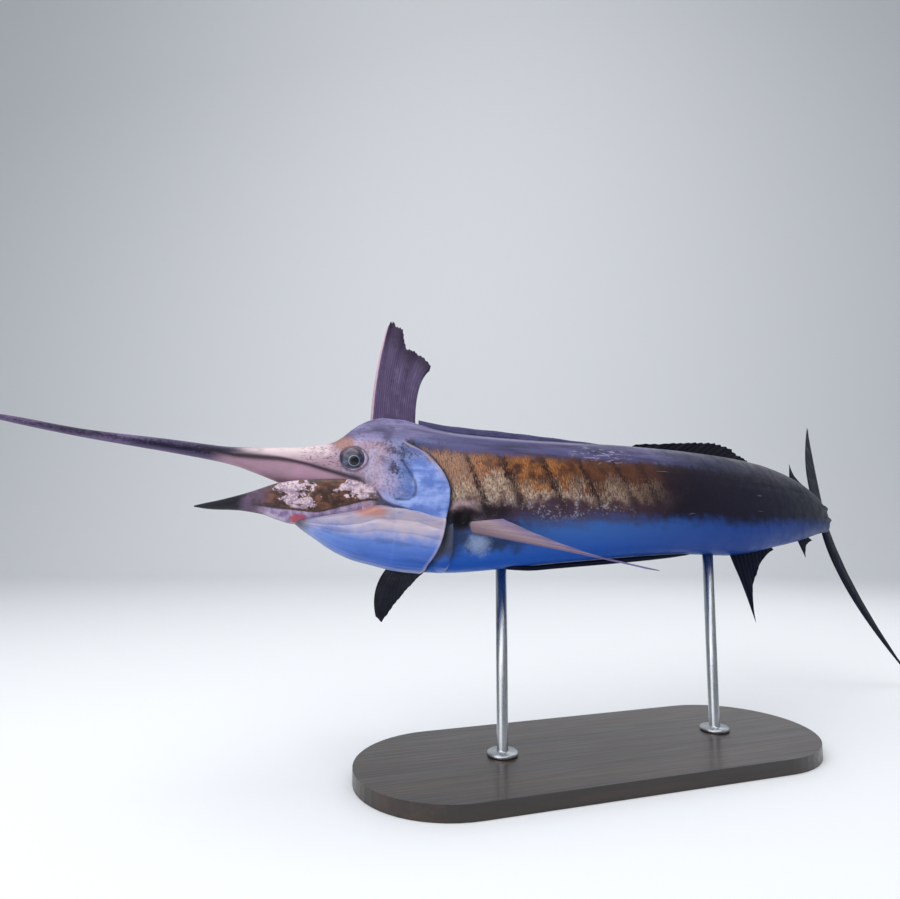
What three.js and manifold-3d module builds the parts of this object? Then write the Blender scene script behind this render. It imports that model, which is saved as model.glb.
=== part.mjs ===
// A life-size sailfish on a plain display stand: head at -X, its left side towards -Y, +Z up, in millimetres.
// The fish banks and swings its tail away from the viewer. Its mouth is open and most of its sail is folded.
import * as THREE from "three";
import { mergeVertices } from "three/addons/utils/BufferGeometryUtils.js";
import Module from "manifold-3d";

const wasm = await Module();
wasm.setup();

// Driving dimensions. Body stations run from 0 at the lower jaw's tip to forkStation at the tail's fork.
const forkStation = 1758;
const billTip = -333;
const gap = 0.3;
const headFrontYaw = 16.7;
const tailYaw = 55;
const bendStart = 462.5;
const bendEnd = 1850;
const bendPower = 1.65;
const bodyPitch = 1.5;
const headLift = 5.2;
const tailDrop = 8.5;
const bank = 14.5;
const straightFrom = 1735;
const stalkEnd = 1686;
const gillStation = 462;
const gillPoint = new THREE.Vector3(-33, 1240, 48);
const gillPointStation = 444;

const radians = THREE.MathUtils.degToRad;
const clamp01 = (x) => Math.min(1, Math.max(0, x));
const smoothstep = (from, to, x) => {
  const t = clamp01((x - from) / (to - from));
  return t * t * (3 - 2 * t);
};

// A smooth curve through a few [station, value] points that never overshoots them.
function through(points) {
  const n = points.length;
  const slope = [];
  for (let i = 0; i < n - 1; i++)
    slope.push((points[i + 1][1] - points[i][1]) / (points[i + 1][0] - points[i][0]));
  const tangent = points.map((_, i) => {
    if (i === 0) return slope[0];
    if (i === n - 1) return slope[n - 2];
    if (slope[i - 1] * slope[i] <= 0) return 0;
    return (2 * slope[i - 1] * slope[i]) / (slope[i - 1] + slope[i]);
  });
  return (x) => {
    if (x <= points[0][0]) return points[0][1];
    if (x >= points[n - 1][0]) return points[n - 1][1];
    let i = 0;
    while (x > points[i + 1][0]) i++;
    const run = points[i + 1][0] - points[i][0];
    const t = (x - points[i][0]) / run;
    const a = points[i][1];
    const b = points[i + 1][1];
    const curved = t * t * (3 - 2 * t);
    return (
      a + (b - a) * curved + run * t * (1 - t) * ((1 - t) * tangent[i] - t * tangent[i + 1])
    );
  };
}

// The backbone line: yaw turns the tail away, pitch lifts the head and drops the tail.
const yawAt = (s) =>
  radians(headFrontYaw) +
  radians(tailYaw - headFrontYaw) * clamp01((s - bendStart) / (bendEnd - bendStart)) ** bendPower;
const pitchAt = (s) =>
  -radians(bodyPitch) -
  radians(headLift) * (1 - smoothstep(148, 592, s)) -
  radians(tailDrop) * smoothstep(1295, 1850, s);
function directionAt(s) {
  const yaw = yawAt(Math.min(s, straightFrom));
  const pitch = pitchAt(Math.min(s, straightFrom));
  return new THREE.Vector3(
    Math.cos(yaw) * Math.cos(pitch),
    Math.sin(yaw) * Math.cos(pitch),
    Math.sin(pitch),
  );
}
const lineStart = -400;
const lineStep = 5;
const line = [new THREE.Vector3()];
for (let s = lineStart; s < 2300; s += lineStep)
  line.push(line.at(-1).clone().addScaledVector(directionAt(s + lineStep / 2), lineStep));
function onLine(s) {
  const x = (s - lineStart) / lineStep;
  const i = Math.min(Math.floor(x), line.length - 2);
  return line[i].clone().lerp(line[i + 1], x - i);
}
const lineShift = gillPoint.clone().sub(onLine(gillPointStation));

// A point of the fish: station along it, distance out to its right side, and height over the backbone line.
const worldUp = new THREE.Vector3(0, 0, 1);
function at(s, side, height) {
  const along = directionAt(s);
  const level = worldUp.clone().cross(along).normalize();
  const upright = along.clone().cross(level);
  const out = level.clone().multiplyScalar(Math.cos(radians(bank)));
  out.addScaledVector(upright, -Math.sin(radians(bank)));
  const up = upright.clone().multiplyScalar(Math.cos(radians(bank)));
  up.addScaledVector(level, Math.sin(radians(bank)));
  return onLine(s).add(lineShift).addScaledVector(out, side).addScaledVector(up, height);
}

// Profiles, each a few named heights along the fish.
const backHeight = through([
  [-333, 41], [-294, 41], [-160, 35], [-18, 38], [45, 38], [109, 44], [177, 54], [211, 62],
  [245, 74], [263, 88], [279, 105], [296, 119], [315, 130], [343, 138], [378, 138], [400, 134],
  [422, 128.5], [444, 123.5], [500, 117.5], [588, 114.5], [680, 113.5], [779, 115], [880, 117],
  [1000, 117], [1138, 115], [1295, 107], [1400, 94], [1480, 81], [1560, 66], [1630, 52],
  [1665, 46], [1686, 32],
]);
const lipHeight = through([
  [-333, 40], [-294, 36.5], [-160, 28], [-18, 26], [45, 24], [80, 21], [146, 22], [192, 17],
  [233, 8], [274, -2], [320, -12], [380, -14], [444, -8], [600, -2], [1740, 0],
]);
const undersideHeight = through([
  [-333, 39], [-294, 32], [-160, 21], [-18, 15], [50, 11], [82, 6], [115, -2], [151, -12],
  [200, -27], [260, -42], [300, -52], [338, -66], [434, -100], [470, -112],
]);
const bellyHeight = through([
  [192, -84], [213, -97], [231, -107], [266, -127], [300, -140], [333, -147], [366, -153], [402, -155.5],
  [471, -155], [532, -151], [611, -143], [700, -135], [788, -128], [900, -120], [1012, -116],
  [1140, -119], [1220, -113], [1299, -102], [1380, -92], [1437, -84], [1500, -73], [1560, -62],
  [1630, -50], [1665, -45], [1686, -31],
]);
const halfWidth = through([
  [-333, 0.8], [-325, 2.2], [-294, 4.6], [-160, 7.5], [-18, 11.5], [45, 14.5], [80, 18], [109, 22],
  [146, 27], [177, 32], [211, 37], [250, 43], [281, 48], [315, 54], [343, 58], [394, 65],
  [444, 71], [500, 75], [600, 77], [740, 76], [870, 74], [1000, 69], [1138, 61], [1295, 51],
  [1400, 43], [1480, 37], [1560, 30], [1610, 25], [1640, 21.5], [1668, 18], [1686, 9],
]);

// The gill cover's free rear edge, and how far it stands off the body.
const gillEdge = through([
  [-150, 424], [-134, 433], [-116, 440], [-91, 446], [-65, 451], [-40, 456], [-18, 457],
  [7, 449], [29, 435], [51, 417], [63, 398], [75, 380],
]);
const gillCoverStandOff = 6;
function gillRelief(s, height) {
  if (height > 78) return 0;
  const behind = gillEdge(height) - s;
  const upperFade = 1 - smoothstep(50, 76, height);
  return gillCoverStandOff * smoothstep(0, 3, behind) * Math.exp(-Math.max(behind, 0) / 45) * upperFade;
}
const keelStandOff = 6;
const keelLift = 16;
function keelRelief(s, side, height) {
  const length = smoothstep(1580, 1640, s) * (1 - smoothstep(1660, 1684, s));
  const ridge = Math.exp(-(((Math.abs(height) - keelLift) / 6) ** 2));
  return keelStandOff * length * ridge;
}

// One point of a cross-section at an angle from the back: rounded sides, with a step under the lip.
const roundness = 0.88;
function sectionPoint(s, angle, heights, width, relief, grow) {
  const [top, middle, bottom] = heights;
  const up = Math.cos(angle);
  const out = Math.sin(angle);
  const upShare = Math.sign(up) * Math.abs(up) ** roundness;
  const outShare = Math.sign(out) * Math.abs(out) ** roundness;
  const height = middle + (up > 0 ? top - middle : middle - bottom) * upShare;
  const side = width * outShare;
  const stand = relief(s, side, height);
  return [side + grow * outShare + stand * out, height + grow * upShare + stand * up * 0.3];
}

const bodySection = (s) => [backHeight(s), lipHeight(s), bellyHeight(s)];
const skullSection = (s) => [backHeight(s), lipHeight(s), undersideHeight(s)];
const bodyRelief = (s, side, height) =>
  keelRelief(s, side, height) + (s > 330 ? gillRelief(s, height) : 0);
const noRelief = () => 0;

// Closed skin through rings of points, all alike in count, with a cap at both ends.
function ringsGeometry(rings) {
  const count = rings[0].length;
  const points = rings.flat();
  const faces = [];
  for (let i = 0; i < rings.length - 1; i++)
    for (let j = 0; j < count; j++) {
      const a = i * count + j;
      const b = i * count + ((j + 1) % count);
      faces.push(a, b, a + count, b, b + count, a + count);
    }
  for (const [ring, base, last] of [[rings[0], 0, false], [rings.at(-1), (rings.length - 1) * count, true]]) {
    const centre = ring.reduce((sum, p) => sum.add(p), new THREE.Vector3()).divideScalar(count);
    points.push(centre);
    for (let j = 0; j < count; j++) {
      const a = base + j;
      const b = base + ((j + 1) % count);
      if (last) faces.push(a, b, points.length - 1);
      else faces.push(b, a, points.length - 1);
    }
  }
  return new THREE.BufferGeometry().setFromPoints(points).setIndex(faces);
}

// Geometry to an exact solid and back, and the largest closed piece of a cut.
function solidOf(geometry) {
  const bare = new THREE.BufferGeometry();
  bare.setAttribute("position", geometry.getAttribute("position"));
  if (geometry.index) bare.setIndex(geometry.index);
  const merged = mergeVertices(bare, 1e-3);
  const made = new wasm.Manifold(
    new wasm.Mesh({
      numProp: 3,
      vertProperties: new Float32Array(merged.attributes.position.array),
      triVerts: new Uint32Array(merged.index.array),
    }),
  );
  if (made.volume() > 0) return made;
  const turned = new Uint32Array(merged.index.array);
  for (let i = 0; i < turned.length; i += 3)
    [turned[i + 1], turned[i + 2]] = [turned[i + 2], turned[i + 1]];
  return new wasm.Manifold(
    new wasm.Mesh({
      numProp: 3,
      vertProperties: new Float32Array(merged.attributes.position.array),
      triVerts: turned,
    }),
  );
}
const largest = (solid) =>
  solid.decompose().reduce((best, piece) => (piece.volume() > best.volume() ? piece : best));
// A solid made larger all round by the gap, for cutting what stands against it.
function grown(solid) {
  const moves = [[gap, 0, 0], [-gap, 0, 0], [0, gap, 0], [0, -gap, 0], [0, 0, gap], [0, 0, -gap]];
  return moves.map((move) => solid.translate(move)).reduce((sum, moved) => sum.add(moved), solid);
}
function geometryOf(solid) {
  const mesh = solid.getMesh();
  const positions = new Float32Array(mesh.numVert * 3);
  for (let i = 0; i < mesh.numVert; i++)
    positions.set(mesh.vertProperties.subarray(i * mesh.numProp, i * mesh.numProp + 3), i * 3);
  const geometry = new THREE.BufferGeometry();
  geometry.setAttribute("position", new THREE.BufferAttribute(positions, 3));
  geometry.setIndex(new THREE.BufferAttribute(mesh.triVerts, 1));
  geometry.computeVertexNormals();
  return geometry;
}

// A length of the fish between two stations; warp bends the inner rings to follow the gill cover's edge.
function lengthOf(stations, sides, sectionAt, widthAt, relief = noRelief, grow = 0, warp = (s) => s) {
  const rings = stations.map((s) => {
    const ring = [];
    for (let j = 0; j < sides; j++) {
      const angle = (j / sides) * Math.PI * 2;
      const [, straightHeight] = sectionPoint(s, angle, sectionAt(s), widthAt(s), noRelief, 0);
      const own = warp(s, straightHeight);
      const [side, height] = sectionPoint(own, angle, sectionAt(own), widthAt(own), relief, grow);
      ring.push(at(own, side, height));
    }
    return ring;
  });
  return solidOf(ringsGeometry(rings));
}
const spread = (from, to, count) =>
  Array.from({ length: count + 1 }, (_, i) => from + ((to - from) * i) / count);

// Rings near the gill opening lean so that one of them lies on its edge.
const straightGill = 446;
const gillLipWidth = 3;
function gillWarp(s, height) {
  const edge = gillEdge(Math.min(Math.max(height, -150), 75));
  if (s >= gillStation) return s;
  if (s <= straightGill) return s + (edge - straightGill) * smoothstep(330, straightGill, s);
  if (s <= straightGill + gillLipWidth) return edge + (s - straightGill);
  const rest = clamp01((s - straightGill - gillLipWidth) / (gillStation - straightGill - gillLipWidth));
  return edge + gillLipWidth + (gillStation - edge - gillLipWidth) * rest;
}

// Head: the skull with the upper jaw's toothed underside, whose front length is the bill.
const billEnd = 120;
const headSides = 36;
const jawCorner = 304;
const wholeHead = (grow) => {
  const corner = jawCorner - grow;
  const section = (s) => (s < corner ? skullSection(s) : bodySection(s));
  const stations = [
    ...spread(billEnd + gap, corner - 6, 11), corner, 318, 336, 354, 372, 390, 408, 422, 434,
    441, straightGill, straightGill + gillLipWidth, 455, gillStation + grow,
  ];
  return lengthOf(stations, headSides, section, halfWidth, bodyRelief, grow, gillWarp);
};
const bill = lengthOf(
  [billTip, -328, -315, -294, -250, -200, -150, -100, -50, 0, 30, 55, 75, 95, 108, billEnd],
  20, skullSection, halfWidth);

// The gill cover's lower edge parts the bony head from the throat's branchiostegal skin.
const gillBottom = through([[290, -60], [338, -48], [388, -62], [434, -79], [470, -96]]);
function belowGill(lift) {
  const half = 130;
  const rings = spread(280, 480, 20).map((s) => {
    const top = gillBottom(s) + lift;
    return [at(s, half, top), at(s, half, -260), at(s, -half, -260), at(s, -half, top)];
  });
  return solidOf(ringsGeometry(rings));
}

// Lower jaw: a trough with thin rims, hinged open at the corner of the mouth.
const jawRim = through([
  [25, -74], [40, -69], [62, -62], [91, -51], [122, -38], [157, -23], [196, -15], [234, -10], [270, -7],
  [330, -14],
]);
const jawBottom = through([
  [25, -76], [45, -77], [101, -73], [137, -75], [161, -81], [190, -86], [230, -86], [270, -80], [330, -66],
]);
const jawHalfWidth = through([
  [25, 0.8], [45, 5], [70, 9], [100, 13.5], [140, 22], [180, 31], [220, 38], [260, 44.5], [300, 49],
  [330, 51],
]);
const jawFloor = through([
  [25, -74.5], [70, -62.5], [100, -56], [130, -55], [170, -58], [220, -60], [270, -58], [330, -52],
]);
const rimThickness = 5;
function jawRing(s) {
  const [rim, bottom, floor, half] = [jawRim(s), jawBottom(s), jawFloor(s), jawHalfWidth(s)];
  const wall = Math.min(rimThickness, half * 0.4);
  const ring = [];
  const outer = 16;
  const lean = 0.9;
  for (let j = 0; j <= outer; j++) {
    const angle = (j / outer) * Math.PI;
    const drop = Math.sin(angle) ** 0.75;
    const side = Math.sign(Math.cos(angle)) * half * Math.abs(Math.cos(angle)) ** 0.7;
    ring.push(at(s, side * (lean + (1 - lean) * (1 - drop)), rim + (bottom - rim) * drop));
  }
  const inner = 8;
  for (let j = 0; j <= inner; j++) {
    const angle = (j / inner) * Math.PI;
    const drop = Math.sin(angle) ** 0.8;
    ring.push(at(s, -Math.cos(angle) * (half - wall), rim + (Math.min(floor, rim - 0.6) - rim) * drop));
  }
  return ring;
}
function jawGeometry(stations) {
  const rings = stations.map(jawRing);
  const count = rings[0].length;
  const points = rings.flat();
  const faces = [];
  for (let i = 0; i < rings.length - 1; i++)
    for (let j = 0; j < count; j++) {
      const a = i * count + j;
      const b = i * count + ((j + 1) % count);
      faces.push(a, b, a + count, b, b + count, a + count);
    }
  const flat = rings.map((ring, i) =>
    ring.map((p) => {
      const local = p.clone().sub(at(stations[i], 0, 0));
      const side = at(stations[i], 1, 0).sub(at(stations[i], 0, 0));
      const up = at(stations[i], 0, 1).sub(at(stations[i], 0, 0));
      return new THREE.Vector2(local.dot(side), local.dot(up));
    }),
  );
  for (const [index, base, last] of [[0, 0, false], [rings.length - 1, (rings.length - 1) * count, true]])
    for (const [a, b, c] of THREE.ShapeUtils.triangulateShape(flat[index], [])) {
      const clockwise = THREE.ShapeUtils.isClockWise(flat[index]);
      if (last === clockwise) faces.push(base + a, base + c, base + b);
      else faces.push(base + a, base + b, base + c);
    }
  return new THREE.BufferGeometry().setFromPoints(points).setIndex(faces);
}

// Throat: the spread branchiostegal skin under the jaw, with its rays as low ridges.
const throatTop = through([[192, -80], [231, -70], [300, -52], [340, -40], [462, -60]]);
const throatMiddle = through([
  [192, -82], [231, -86], [266, -84], [300, -76], [338, -62], [390, -64], [434, -79], [462, -86],
]);
const throatHalfWidth = through([
  [192, 6], [205, 17], [231, 31], [266, 43], [300, 51], [338, 57], [394, 64.5], [434, 69], [462, 72],
]);
const raysEachSide = 6;
const rayHeight = 1.8;
const throatAngles = [
  ...spread(0, Math.PI / 2, 4),
  ...spread(Math.PI / 2, (Math.PI * 3) / 2, raysEachSide * 4 + 2).slice(1),
  ...spread((Math.PI * 3) / 2, Math.PI * 2, 4).slice(1, -1),
];
const throatStations = [
  192, 205, 220, 236, 252, 268, 284, 300, 318, 336, 354, 372, 390, 408, 422, 434,
  441, straightGill, straightGill + gillLipWidth, 455, gillStation,
];
const throatRings = throatStations.map((s) =>
  throatAngles.map((angle, j) => {
    const lower = j > 4 && j < throatAngles.length - 4;
    const ray = lower && j % 2 === 0 ? rayHeight * smoothstep(205, 250, s) : 0;
    const shape = [throatTop(s), throatMiddle(s), bellyHeight(s)];
    const [, plainHeight] = sectionPoint(s, angle, shape, throatHalfWidth(s), noRelief, 0);
    const own = s > 330 ? gillWarp(s, plainHeight) : s;
    const heights = [throatTop(own), throatMiddle(own), bellyHeight(own)];
    const relief = (x, side, height) => ray + (own > 360 ? gillRelief(x, height) : 0);
    return at(own, ...sectionPoint(own, angle, heights, throatHalfWidth(own), relief, 0));
  }),
);

// Eyes sit in round sockets; nostrils are two small pits ahead of each.
const eyeRadius = 28;
const eyeStation = 281;
const eyeHeight = 33;
const eyeSide = 30;
const ball = (centre, radius, detail) => {
  const geometry = new THREE.SphereGeometry(radius, detail, Math.round(detail * 0.6));
  geometry.translate(centre.x, centre.y, centre.z);
  return solidOf(geometry);
};
const eyeCentre = (hand) => at(eyeStation, hand * eyeSide, eyeHeight);
const eyes = [-1, 1].map((hand) => ball(eyeCentre(hand), eyeRadius, 20));
const sockets = [-1, 1].map((hand) => ball(eyeCentre(hand), eyeRadius + 2 * gap, 20));
const nostrilPits = [-1, 1].flatMap((hand) =>
  [[226, 2.6], [234, 3.4]].map(([s, r]) => ball(at(s, hand * 35.5, 38), r, 10)));

let head = wholeHead(0).subtract(belowGill(0));
for (const hollow of [...sockets, ...nostrilPits]) head = head.subtract(hollow);
head = largest(head);
const headGrown = wholeHead(gap).subtract(belowGill(-gap));
const jawStations = [25, 32, 42, 55, 70, 85, 100, 115, 130, 148, 166, 186, 206, 226, 246, 266, 286, 304];
const lowerJaw = largest(solidOf(jawGeometry(jawStations)).subtract(headGrown));
const throat = largest(solidOf(ringsGeometry(throatRings)).subtract(headGrown).subtract(grown(lowerJaw)));

// Trunk lengths, each a solid of its own with a thin gap to the next.
const trunkStations = [
  ...spread(gillStation, 1480, 24), 1510, 1540, 1570, 1594, 1614, 1632, 1646, 1658, 1668, 1678, stalkEnd,
];
const trunk = (from, to, grow = 0) => {
  const inside = trunkStations.filter((s) => s > from + 5 && s < to - 5);
  return lengthOf([from, ...inside, to], headSides, bodySection, halfWidth, bodyRelief, grow);
};
const [frontEnd, middleEnd, rearEnd] = [8, 16, 24].map((i) => trunkStations[i]);
const bodyFront = trunk(gillStation + gap, frontEnd);
const bodyMiddle = trunk(frontEnd + gap, middleEnd);
const bodyRear = trunk(middleEnd + gap, rearEnd);
const tailStalk = trunk(rearEnd + gap, stalkEnd);
const fishGrown = trunk(gillStation - 1, stalkEnd + gap, gap).add(headGrown).add(grown(throat));

// A fin: one curved ray after another, each [root, bend, tip], with thin membrane between raised rays.
function bow([root, bend, tip], t) {
  const a = (1 - t) * (1 - t);
  const b = 2 * t * (1 - t);
  const c = t * t;
  return [0, 1, 2].map((i) => a * root[i] + b * bend[i] + c * tip[i]);
}
function blend(rayA, rayB, t) {
  return rayA.map((p, i) => p.map((x, k) => x + (rayB[i][k] - x) * t));
}
function fin(rays, { rows = 8, rayHalf = 1.6, skinHalf = 0.8, tipHalf = 0.35, between = 1, scallop = 0 }) {
  const columns = [];
  rays.forEach((ray, k) => {
    columns.push({ ray, half: rayHalf, cut: 0 });
    if (k < rays.length - 1)
      for (let m = 1; m <= between; m++)
        columns.push({ ray: blend(ray, rays[k + 1], m / (between + 1)), half: skinHalf, cut: scallop });
  });
  const middle = columns.map(({ ray, cut }) =>
    spread(0, 1, rows).map((t) => at(...bow(ray, t * (1 - cut)))));
  const front = [];
  const back = [];
  const lastColumn = columns.length - 1;
  middle.forEach((points, i) => {
    front.push([]);
    back.push([]);
    points.forEach((point, j) => {
      const across = middle[Math.min(i + 1, lastColumn)][j].clone().sub(middle[Math.max(i - 1, 0)][j]);
      const along = points[Math.min(j + 1, rows)].clone().sub(points[Math.max(j - 1, 0)]);
      const normal = across.cross(along).normalize();
      const edge = i === 0 || i === lastColumn ? 0.7 : 1;
      const half = THREE.MathUtils.lerp(columns[i].half, tipHalf, (j / rows) ** 1.3) * edge;
      front[i].push(point.clone().addScaledVector(normal, half));
      back[i].push(point.clone().addScaledVector(normal, -half));
    });
  });
  const points = [...front.flat(), ...back.flat()];
  const stride = rows + 1;
  const backBase = front.length * stride;
  const faces = [];
  for (let i = 0; i < lastColumn; i++)
    for (let j = 0; j < rows; j++) {
      const a = i * stride + j;
      const [b, c, d] = [a + 1, a + stride, a + stride + 1];
      faces.push(a, c, b, b, c, d);
      faces.push(backBase + a, backBase + b, backBase + c, backBase + b, backBase + d, backBase + c);
    }
  const rim = [];
  for (let j = 0; j < rows; j++) rim.push([j + 1, j]);
  for (let i = 0; i < lastColumn; i++) rim.push([i * stride, (i + 1) * stride]);
  for (let j = 0; j < rows; j++) rim.push([lastColumn * stride + j, lastColumn * stride + j + 1]);
  for (let i = lastColumn; i > 0; i--) rim.push([i * stride + rows, (i - 1) * stride + rows]);
  for (const [a, b] of rim) faces.push(b, a, backBase + a, b, backBase + a, backBase + b);
  return solidOf(new THREE.BufferGeometry().setFromPoints(points).setIndex(faces));
}
const rooted = (solid) => largest(solid.subtract(fishGrown));

// Sail: the raised front lobe, the folded length in its groove, and the slanting rear rays.
const lobeTips = [
  [342, 350], [349, 362], [356, 367], [367, 357], [379, 348], [384, 326], [390, 306], [401, 304],
  [414, 297], [430, 287], [447, 271], [443, 260],
];
const lobeRootHeight = 118;
const lobeRays = lobeTips.map(([s, height], k) => {
  const share = k / (lobeTips.length - 1);
  const root = 316 + 93 * share;
  const bendHeight = lobeRootHeight + (height - lobeRootHeight) * (0.5 + 0.26 * share * share);
  return [[root, 0, lobeRootHeight], [root - 1.5 - 2.5 * share, 0, bendHeight], [s, 0, height]];
});
const sailRootDepth = 14;
const foldedTop = through([
  [416, 145], [440, 141.5], [470, 139], [510, 137], [590, 134.5], [640, 132], [690, 129.5], [781, 124.5],
  [840, 121.5], [884, 120],
]);
function foldedSail() {
  const half = 7;
  const ringSides = 10;
  const rings = spread(416, 884, 18).map((s, i, all) => {
    const low = backHeight(s) - sailRootDepth;
    const high = foldedTop(s);
    const width = half * Math.min(1, 0.35 + 0.25 * i, 0.35 + 0.2 * (all.length - 1 - i));
    return Array.from({ length: ringSides }, (_, j) => {
      const angle = (j / ringSides) * Math.PI * 2;
      const pleat = j % 2 === 0 ? 1 : 0.72;
      return at(s, Math.sin(angle) * width * pleat, (low + high) / 2 + (Math.cos(angle) * (high - low)) / 2);
    });
  });
  return solidOf(ringsGeometry(rings));
}
const rearSailTop = through([
  [884, 120], [933, 130], [1014, 138], [1095, 147], [1183, 153], [1232, 147], [1262, 131], [1310, 112],
]);
const rearRays = spread(888, 1262, 18).map((root) => {
  const reach = through([[888, 40], [1000, 78], [1130, 90], [1200, 74], [1262, 48]])(root);
  const tip = root + reach;
  const base = backHeight(root) - sailRootDepth;
  const top = rearSailTop(tip);
  return [[root, 0, base], [root + reach * 0.45, 0, (base + top) / 2 + 5], [tip, 0, top]];
});
const dorsalRear = fin(rearRays, { rows: 5, rayHalf: 1.9, skinHalf: 0.8 });

// Small median fins behind the sail and under the tail.
function smallFin(baseFrom, baseTo, rootAt, tips, options) {
  const rays = tips.map(([s, height], k) => {
    const root = baseFrom + ((baseTo - baseFrom) * k) / (tips.length - 1);
    const low = rootAt(root);
    return [[root, 0, low], [root + (s - root) * 0.35, 0, low + (height - low) * 0.55], [s, 0, height]];
  });
  return fin(rays, options);
}
const smallFinOptions = { rows: 4, rayHalf: 1.8, skinHalf: 1.1, tipHalf: 0.7 };
const secondDorsal = smallFin(1492, 1540, (s) => backHeight(s) - 9,
  [[1510, 110], [1523, 130], [1527, 108], [1541, 93], [1588, 76]], smallFinOptions);
const analFin = smallFin(1140, 1292, (s) => bellyHeight(s) + 10,
  [[1162, -190], [1172, -268], [1178, -222], [1187, -199], [1199, -180], [1212, -165], [1225, -152],
   [1239, -139], [1256, -127], [1276, -117], [1306, -107]], { rows: 7, rayHalf: 1.6 });
const secondAnal = smallFin(1434, 1488, (s) => bellyHeight(s) + 8,
  [[1444, -112], [1449, -126], [1461, -108], [1476, -93], [1524, -79]], smallFinOptions);

// Tail fin: two long swept lobes of close-set rays that meet at the fork.
const upperTip = [1968, 2, 357];
const lowerTip = [1992, -46, -435];
const raysEachLobe = 8;
function tailLobe(sign, tip, leadBend, trailBend) {
  const middle = (sign * gap) / 2;
  const fork = [forkStation, 6, middle];
  return Array.from({ length: raysEachLobe }, (_, k) => {
    const share = k / (raysEachLobe - 1);
    const root = [1652 + 26 * share, 4 * (1 - share), sign * 38 * (1 - share) + middle * share];
    const behindTip = tip.map((x, i) => x + [5, 0, -sign * 5][i] * k);
    const trailing = bow([tip, trailBend, fork], clamp01((share - 0.2) / 0.8));
    const bend = leadBend.map((x, i) => x * (1 - share) + [1718, 3, middle][i] * share);
    return [root, bend, share < 0.25 ? behindTip : trailing];
  });
}
const lobeOptions = { rows: 10, rayHalf: 2.8, skinHalf: 1.8, tipHalf: 0.5 };
const upperLobe = fin(tailLobe(1, upperTip, [1735, 22, 160], [1825, 5, 150]), lobeOptions);
const lowerLobe = fin(tailLobe(-1, lowerTip, [1738, 34, -185], [1820, 12, -190]), lobeOptions)
  .subtract(grown(upperLobe));

// Paired fins. The near one trails along the flank and the far one reaches out and down.
function pectoral({ lead, trail, leadTip, tip, tipBend, trailTip, leadBow, count }) {
  return Array.from({ length: count }, (_, k) => {
    const share = k / (count - 1);
    const root = lead.map((x, i) => x + (trail[i] - x) * share);
    const end = k === 0 ? leadTip : bow([tip, tipBend, trailTip], ((k - 1) / (count - 2)) ** 0.8);
    const bend = root.map((x, i) => (x + end[i]) / 2 + leadBow[i] * (1 - share));
    return [root, bend, end];
  });
}
const pectoralLeft = fin(pectoral({
  lead: [478, -56, -91], trail: [480, -64, -76], leadTip: [786, -146, -174], tip: [811, -150, -178],
  tipBend: [685, -118, -149], trailTip: [552, -80, -71], leadBow: [0, 0, 8], count: 11,
}), { rows: 9, rayHalf: 2, skinHalf: 1.2, tipHalf: 0.45 });
const pectoralRight = fin(pectoral({
  lead: [458, 54, -80], trail: [500, 60, -102], leadTip: [400, 318, -201], tip: [420, 360, -209],
  tipBend: [446, 262, -148], trailTip: [480, 140, -112], leadBow: [-78, 0, 30], count: 9,
}), { rows: 9, rayHalf: 2.2, skinHalf: 1.1, tipHalf: 0.45 });
const pelvicDepth = through([[520, 2.4], [600, 3.4], [660, 4.6], [850, 5], [960, 3.2], [1012, 0.9]]);
function pelvic(hand) {
  const clearance = 1.2;
  const ringSides = 8;
  const rings = spread(520, 1012, 18).map((s) => {
    const half = pelvicDepth(s);
    const sunk = 13 * (1 - smoothstep(520, 640, s));
    const middle = bellyHeight(s) - half - clearance + sunk;
    const side = hand * THREE.MathUtils.lerp(9, 3.4, smoothstep(520, 700, s));
    return Array.from({ length: ringSides }, (_, j) => {
      const angle = (j / ringSides) * Math.PI * 2;
      return at(s, side + Math.sin(angle) * Math.min(2.6, half), middle + Math.cos(angle) * half);
    });
  });
  return solidOf(ringsGeometry(rings));
}

// Stand: a flat base with round ends and two upright rods that stop just under the belly.
const baseThickness = 28;
const baseLength = 980;
const baseWidth = 360;
const rodRadius = 11;
const floorClearance = 26;
const baseMiddleStation = 790;
const rodFoot = [at(590, 40, -120), at(1075, 0, -100)];

const finParts = {
  dorsal_fin_front: [rooted(fin(lobeRays, { rows: 8, rayHalf: 2, skinHalf: 1 })), "fin"],
  dorsal_fin_folded: [rooted(foldedSail()), "fin"],
  dorsal_fin_rear: [rooted(dorsalRear), "fin"],
  second_dorsal_fin: [rooted(secondDorsal), "fin"],
  anal_fin: [rooted(analFin), "fin"],
  second_anal_fin: [rooted(secondAnal), "fin"],
  caudal_fin_upper: [rooted(upperLobe), "fin"],
  caudal_fin_lower: [rooted(lowerLobe), "fin"],
  pectoral_fin_left: [rooted(pectoralLeft), "pale_fin"],
  pectoral_fin_right: [rooted(pectoralRight), "fin"],
  pelvic_fin_left: [rooted(pelvic(-1)), "fin"],
  pelvic_fin_right: [rooted(pelvic(1)), "fin"],
};
const fleshParts = {
  bill: [bill, "bill"],
  head: [head, "head"],
  lower_jaw: [lowerJaw, "jaw"],
  throat: [throat, "belly"],
  body_front: [bodyFront, "flank"],
  body_middle: [bodyMiddle, "flank"],
  body_rear: [bodyRear, "flank"],
  tail_stalk: [tailStalk, "flank"],
  eye_left: [eyes[0], "eye"],
  eye_right: [eyes[1], "eye"],
};
const lowest = Math.min(...Object.values(finParts).map(([solid]) => solid.boundingBox().min[2]));
const floorLevel = lowest - floorClearance;
const baseTop = floorLevel + baseThickness;

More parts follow.
